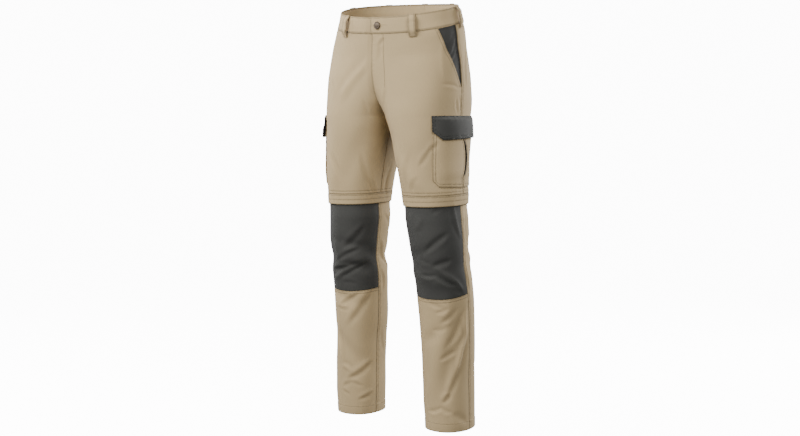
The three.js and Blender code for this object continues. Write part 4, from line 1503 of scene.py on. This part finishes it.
def build_floor():
    """A pale sweep: a floor that curves up into a backdrop, all round."""
    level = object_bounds()[0][2] - settings().floor_drop
    bm = bmesh.new()
    bmesh.ops.create_circle(
        bm, cap_ends=True, cap_tris=False, segments=SWEEP_SEGMENTS, radius=SWEEP_RADIUS)
    rim = [e for e in bm.edges if e.is_boundary]
    for k in range(1, SWEEP_STEPS + 1):
        made = bmesh.ops.extrude_edge_only(bm, edges=rim)["geom"]
        rim = [g for g in made if isinstance(g, bmesh.types.BMEdge)]
        turn = math.pi / 2 * k / SWEEP_STEPS
        for vert in {v for e in rim for v in e.verts}:
            out = Vector((vert.co.x, vert.co.y, 0)).normalized()
            vert.co = out * (SWEEP_RADIUS + SWEEP_BEND * math.sin(turn))
            vert.co.z = SWEEP_BEND * (1 - math.cos(turn))
    made = bmesh.ops.extrude_edge_only(bm, edges=rim)["geom"]
    for vert in [g for g in made if isinstance(g, bmesh.types.BMVert)]:
        vert.co.z += SWEEP_WALL
    bmesh.ops.recalc_face_normals(bm, faces=bm.faces)
    bmesh.ops.reverse_faces(bm, faces=bm.faces)
    bmesh.ops.translate(bm, vec=(0, 0, level), verts=bm.verts)
    mesh = bpy.data.meshes.new("sweep")
    bm.to_mesh(mesh)
    bm.free()
    mesh.polygons.foreach_set("use_smooth", [True] * len(mesh.polygons))
    finish = Finish("sweep")
    finish.set(Base_Color=(0.86, 0.86, 0.86, 1), Roughness=0.9, Emission_Color=(1, 1, 1, 1),
               Emission_Strength=SWEEP_LIGHT)
    mesh.materials.append(finish.material)
    floor = bpy.data.objects.new("sweep", mesh)
    for ray in ("diffuse", "glossy", "transmission", "shadow"):
        setattr(floor, "visible_" + ray, False)
    bpy.context.scene.collection.objects.link(floor)
    floor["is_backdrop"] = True


def build_light(name, azimuth, height, distance, size):
    """A round softbox aimed at the middle of the trousers."""
    light = bpy.data.lights.new(name, "AREA")
    light.shape = "DISK"
    light.size = size
    light.energy = getattr(settings(), name)
    lamp = bpy.data.objects.new(name, light)
    turn = math.radians(azimuth)
    lamp.location = (math.sin(turn) * distance, -math.cos(turn) * distance, height)
    aim = Vector((0, 0, LIGHT_AIM)) - lamp.location
    lamp.rotation_euler = aim.to_track_quat("-Z", "Y").to_euler()
    bpy.context.scene.collection.objects.link(lamp)


def build_world():
    world = bpy.data.worlds.new("studio")
    world.use_nodes = True
    background = world.node_tree.nodes["Background"]
    background.inputs["Color"].default_value = (1, 1, 1, 1)
    background.inputs["Strength"].default_value = WORLD_LIGHT
    bpy.context.scene.world = world


# Operators


class PieceOperator:
    bl_options = {"REGISTER", "UNDO"}

    def execute(self, context):
        self.make()
        return {"FINISHED"}


class TROUSERS_OT_shorts(PieceOperator, bpy.types.Operator):
    """Make the fronts and the backs, from the waist seam to the zip seam"""

    bl_idname = "trousers.shorts"
    bl_label = "Fronts and backs"

    def make(self):
        for side in SIDES:
            front_panel(side).build()
            back_panel(side).build()


class TROUSERS_OT_facings(PieceOperator, bpy.types.Operator):
    """Make the facings of the slant pockets"""

    bl_idname = "trousers.facings"
    bl_label = "Pocket facings"

    def make(self):
        for side in SIDES:
            facing_panel(side).build()


class TROUSERS_OT_waistband(PieceOperator, bpy.types.Operator):
    """Make the two halves of the waistband"""

    bl_idname = "trousers.waistband"
    bl_label = "Waistband"

    def make(self):
        for side in SIDES:
            waistband_panel(side).build()


class TROUSERS_OT_belt_loops(PieceOperator, bpy.types.Operator):
    """Make the seven belt loops"""

    bl_idname = "trousers.belt_loops"
    bl_label = "Belt loops"

    def make(self):
        for name, side, share in LOOPS:
            loop_panel(name, side, share).build()


class TROUSERS_OT_button(PieceOperator, bpy.types.Operator):
    """Make the shank button of the waistband"""

    bl_idname = "trousers.button"
    bl_label = "Button"

    def make(self):
        build_button()


class TROUSERS_OT_cargo_pockets(PieceOperator, bpy.types.Operator):
    """Make the cargo pockets and their flaps"""

    bl_idname = "trousers.cargo_pockets"
    bl_label = "Cargo pockets"

    def make(self):
        for side in SIDES:
            cargo_panel(side, "front").build()
            cargo_panel(side, "rear").build()
            flap_panel(side).build()


class TROUSERS_OT_zips(PieceOperator, bpy.types.Operator):
    """Make the storm flaps with the zips under them"""

    bl_idname = "trousers.zips"
    bl_label = "Storm flaps and zips"

    def make(self):
        for side in SIDES:
            storm_flap_panel(side).build()
            zip_panel(side).build()
            build_zip_teeth(side)


class TROUSERS_OT_legs(PieceOperator, bpy.types.Operator):
    """Make the zip-off legs: knee, shin and calf panels"""

    bl_idname = "trousers.legs"
    bl_label = "Zip-off legs"

    def make(self):
        for side in SIDES:
            knee_panel(side).build()
            shin_panel(side).build()
            calf_panel(side).build()


class TROUSERS_OT_stitching(PieceOperator, bpy.types.Operator):
    """Sew every seam, hem and bartack"""

    bl_idname = "trousers.stitching"
    bl_label = "Stitching"

    def make(self):
        for side in SIDES:
            sew_side(side)


class TROUSERS_OT_stage(PieceOperator, bpy.types.Operator):
    """Set the floor, the lights and the camera"""

    bl_idname = "trousers.stage"
    bl_label = "Stage"

    def make(self):
        build_camera()
        build_world()
        for light in LIGHTS:
            build_light(*light)
        build_floor()


class TROUSERS_PT_panel(bpy.types.Panel):
    """Lists the pieces of the trousers in the sidebar"""

    bl_idname = "TROUSERS_PT_panel"
    bl_label = "Zip-off trousers"
    bl_space_type = "VIEW_3D"
    bl_region_type = "UI"
    bl_category = "Trousers"

    def draw(self, context):
        for key in Settings.__annotations__:
            self.layout.prop(context.scene.trousers, key)
        for operator in OPERATORS:
            self.layout.operator(operator.bl_idname)


OPERATORS = (
    TROUSERS_OT_shorts,
    TROUSERS_OT_facings,
    TROUSERS_OT_waistband,
    TROUSERS_OT_belt_loops,
    TROUSERS_OT_button,
    TROUSERS_OT_cargo_pockets,
    TROUSERS_OT_zips,
    TROUSERS_OT_legs,
    TROUSERS_OT_stitching,
    TROUSERS_OT_stage,
)
CLASSES = (Settings, *OPERATORS, TROUSERS_PT_panel)


def register():
    for cls in CLASSES:
        bpy.utils.register_class(cls)
    bpy.types.Scene.trousers = bpy.props.PointerProperty(type=Settings)


def unregister():
    del bpy.types.Scene.trousers
    for cls in reversed(CLASSES):
        bpy.utils.unregister_class(cls)


def main():
    register()
    for operator in OPERATORS:
        module, name = operator.bl_idname.split(".")
        getattr(getattr(bpy.ops, module), name)()


if __name__ == "__main__":
    main()
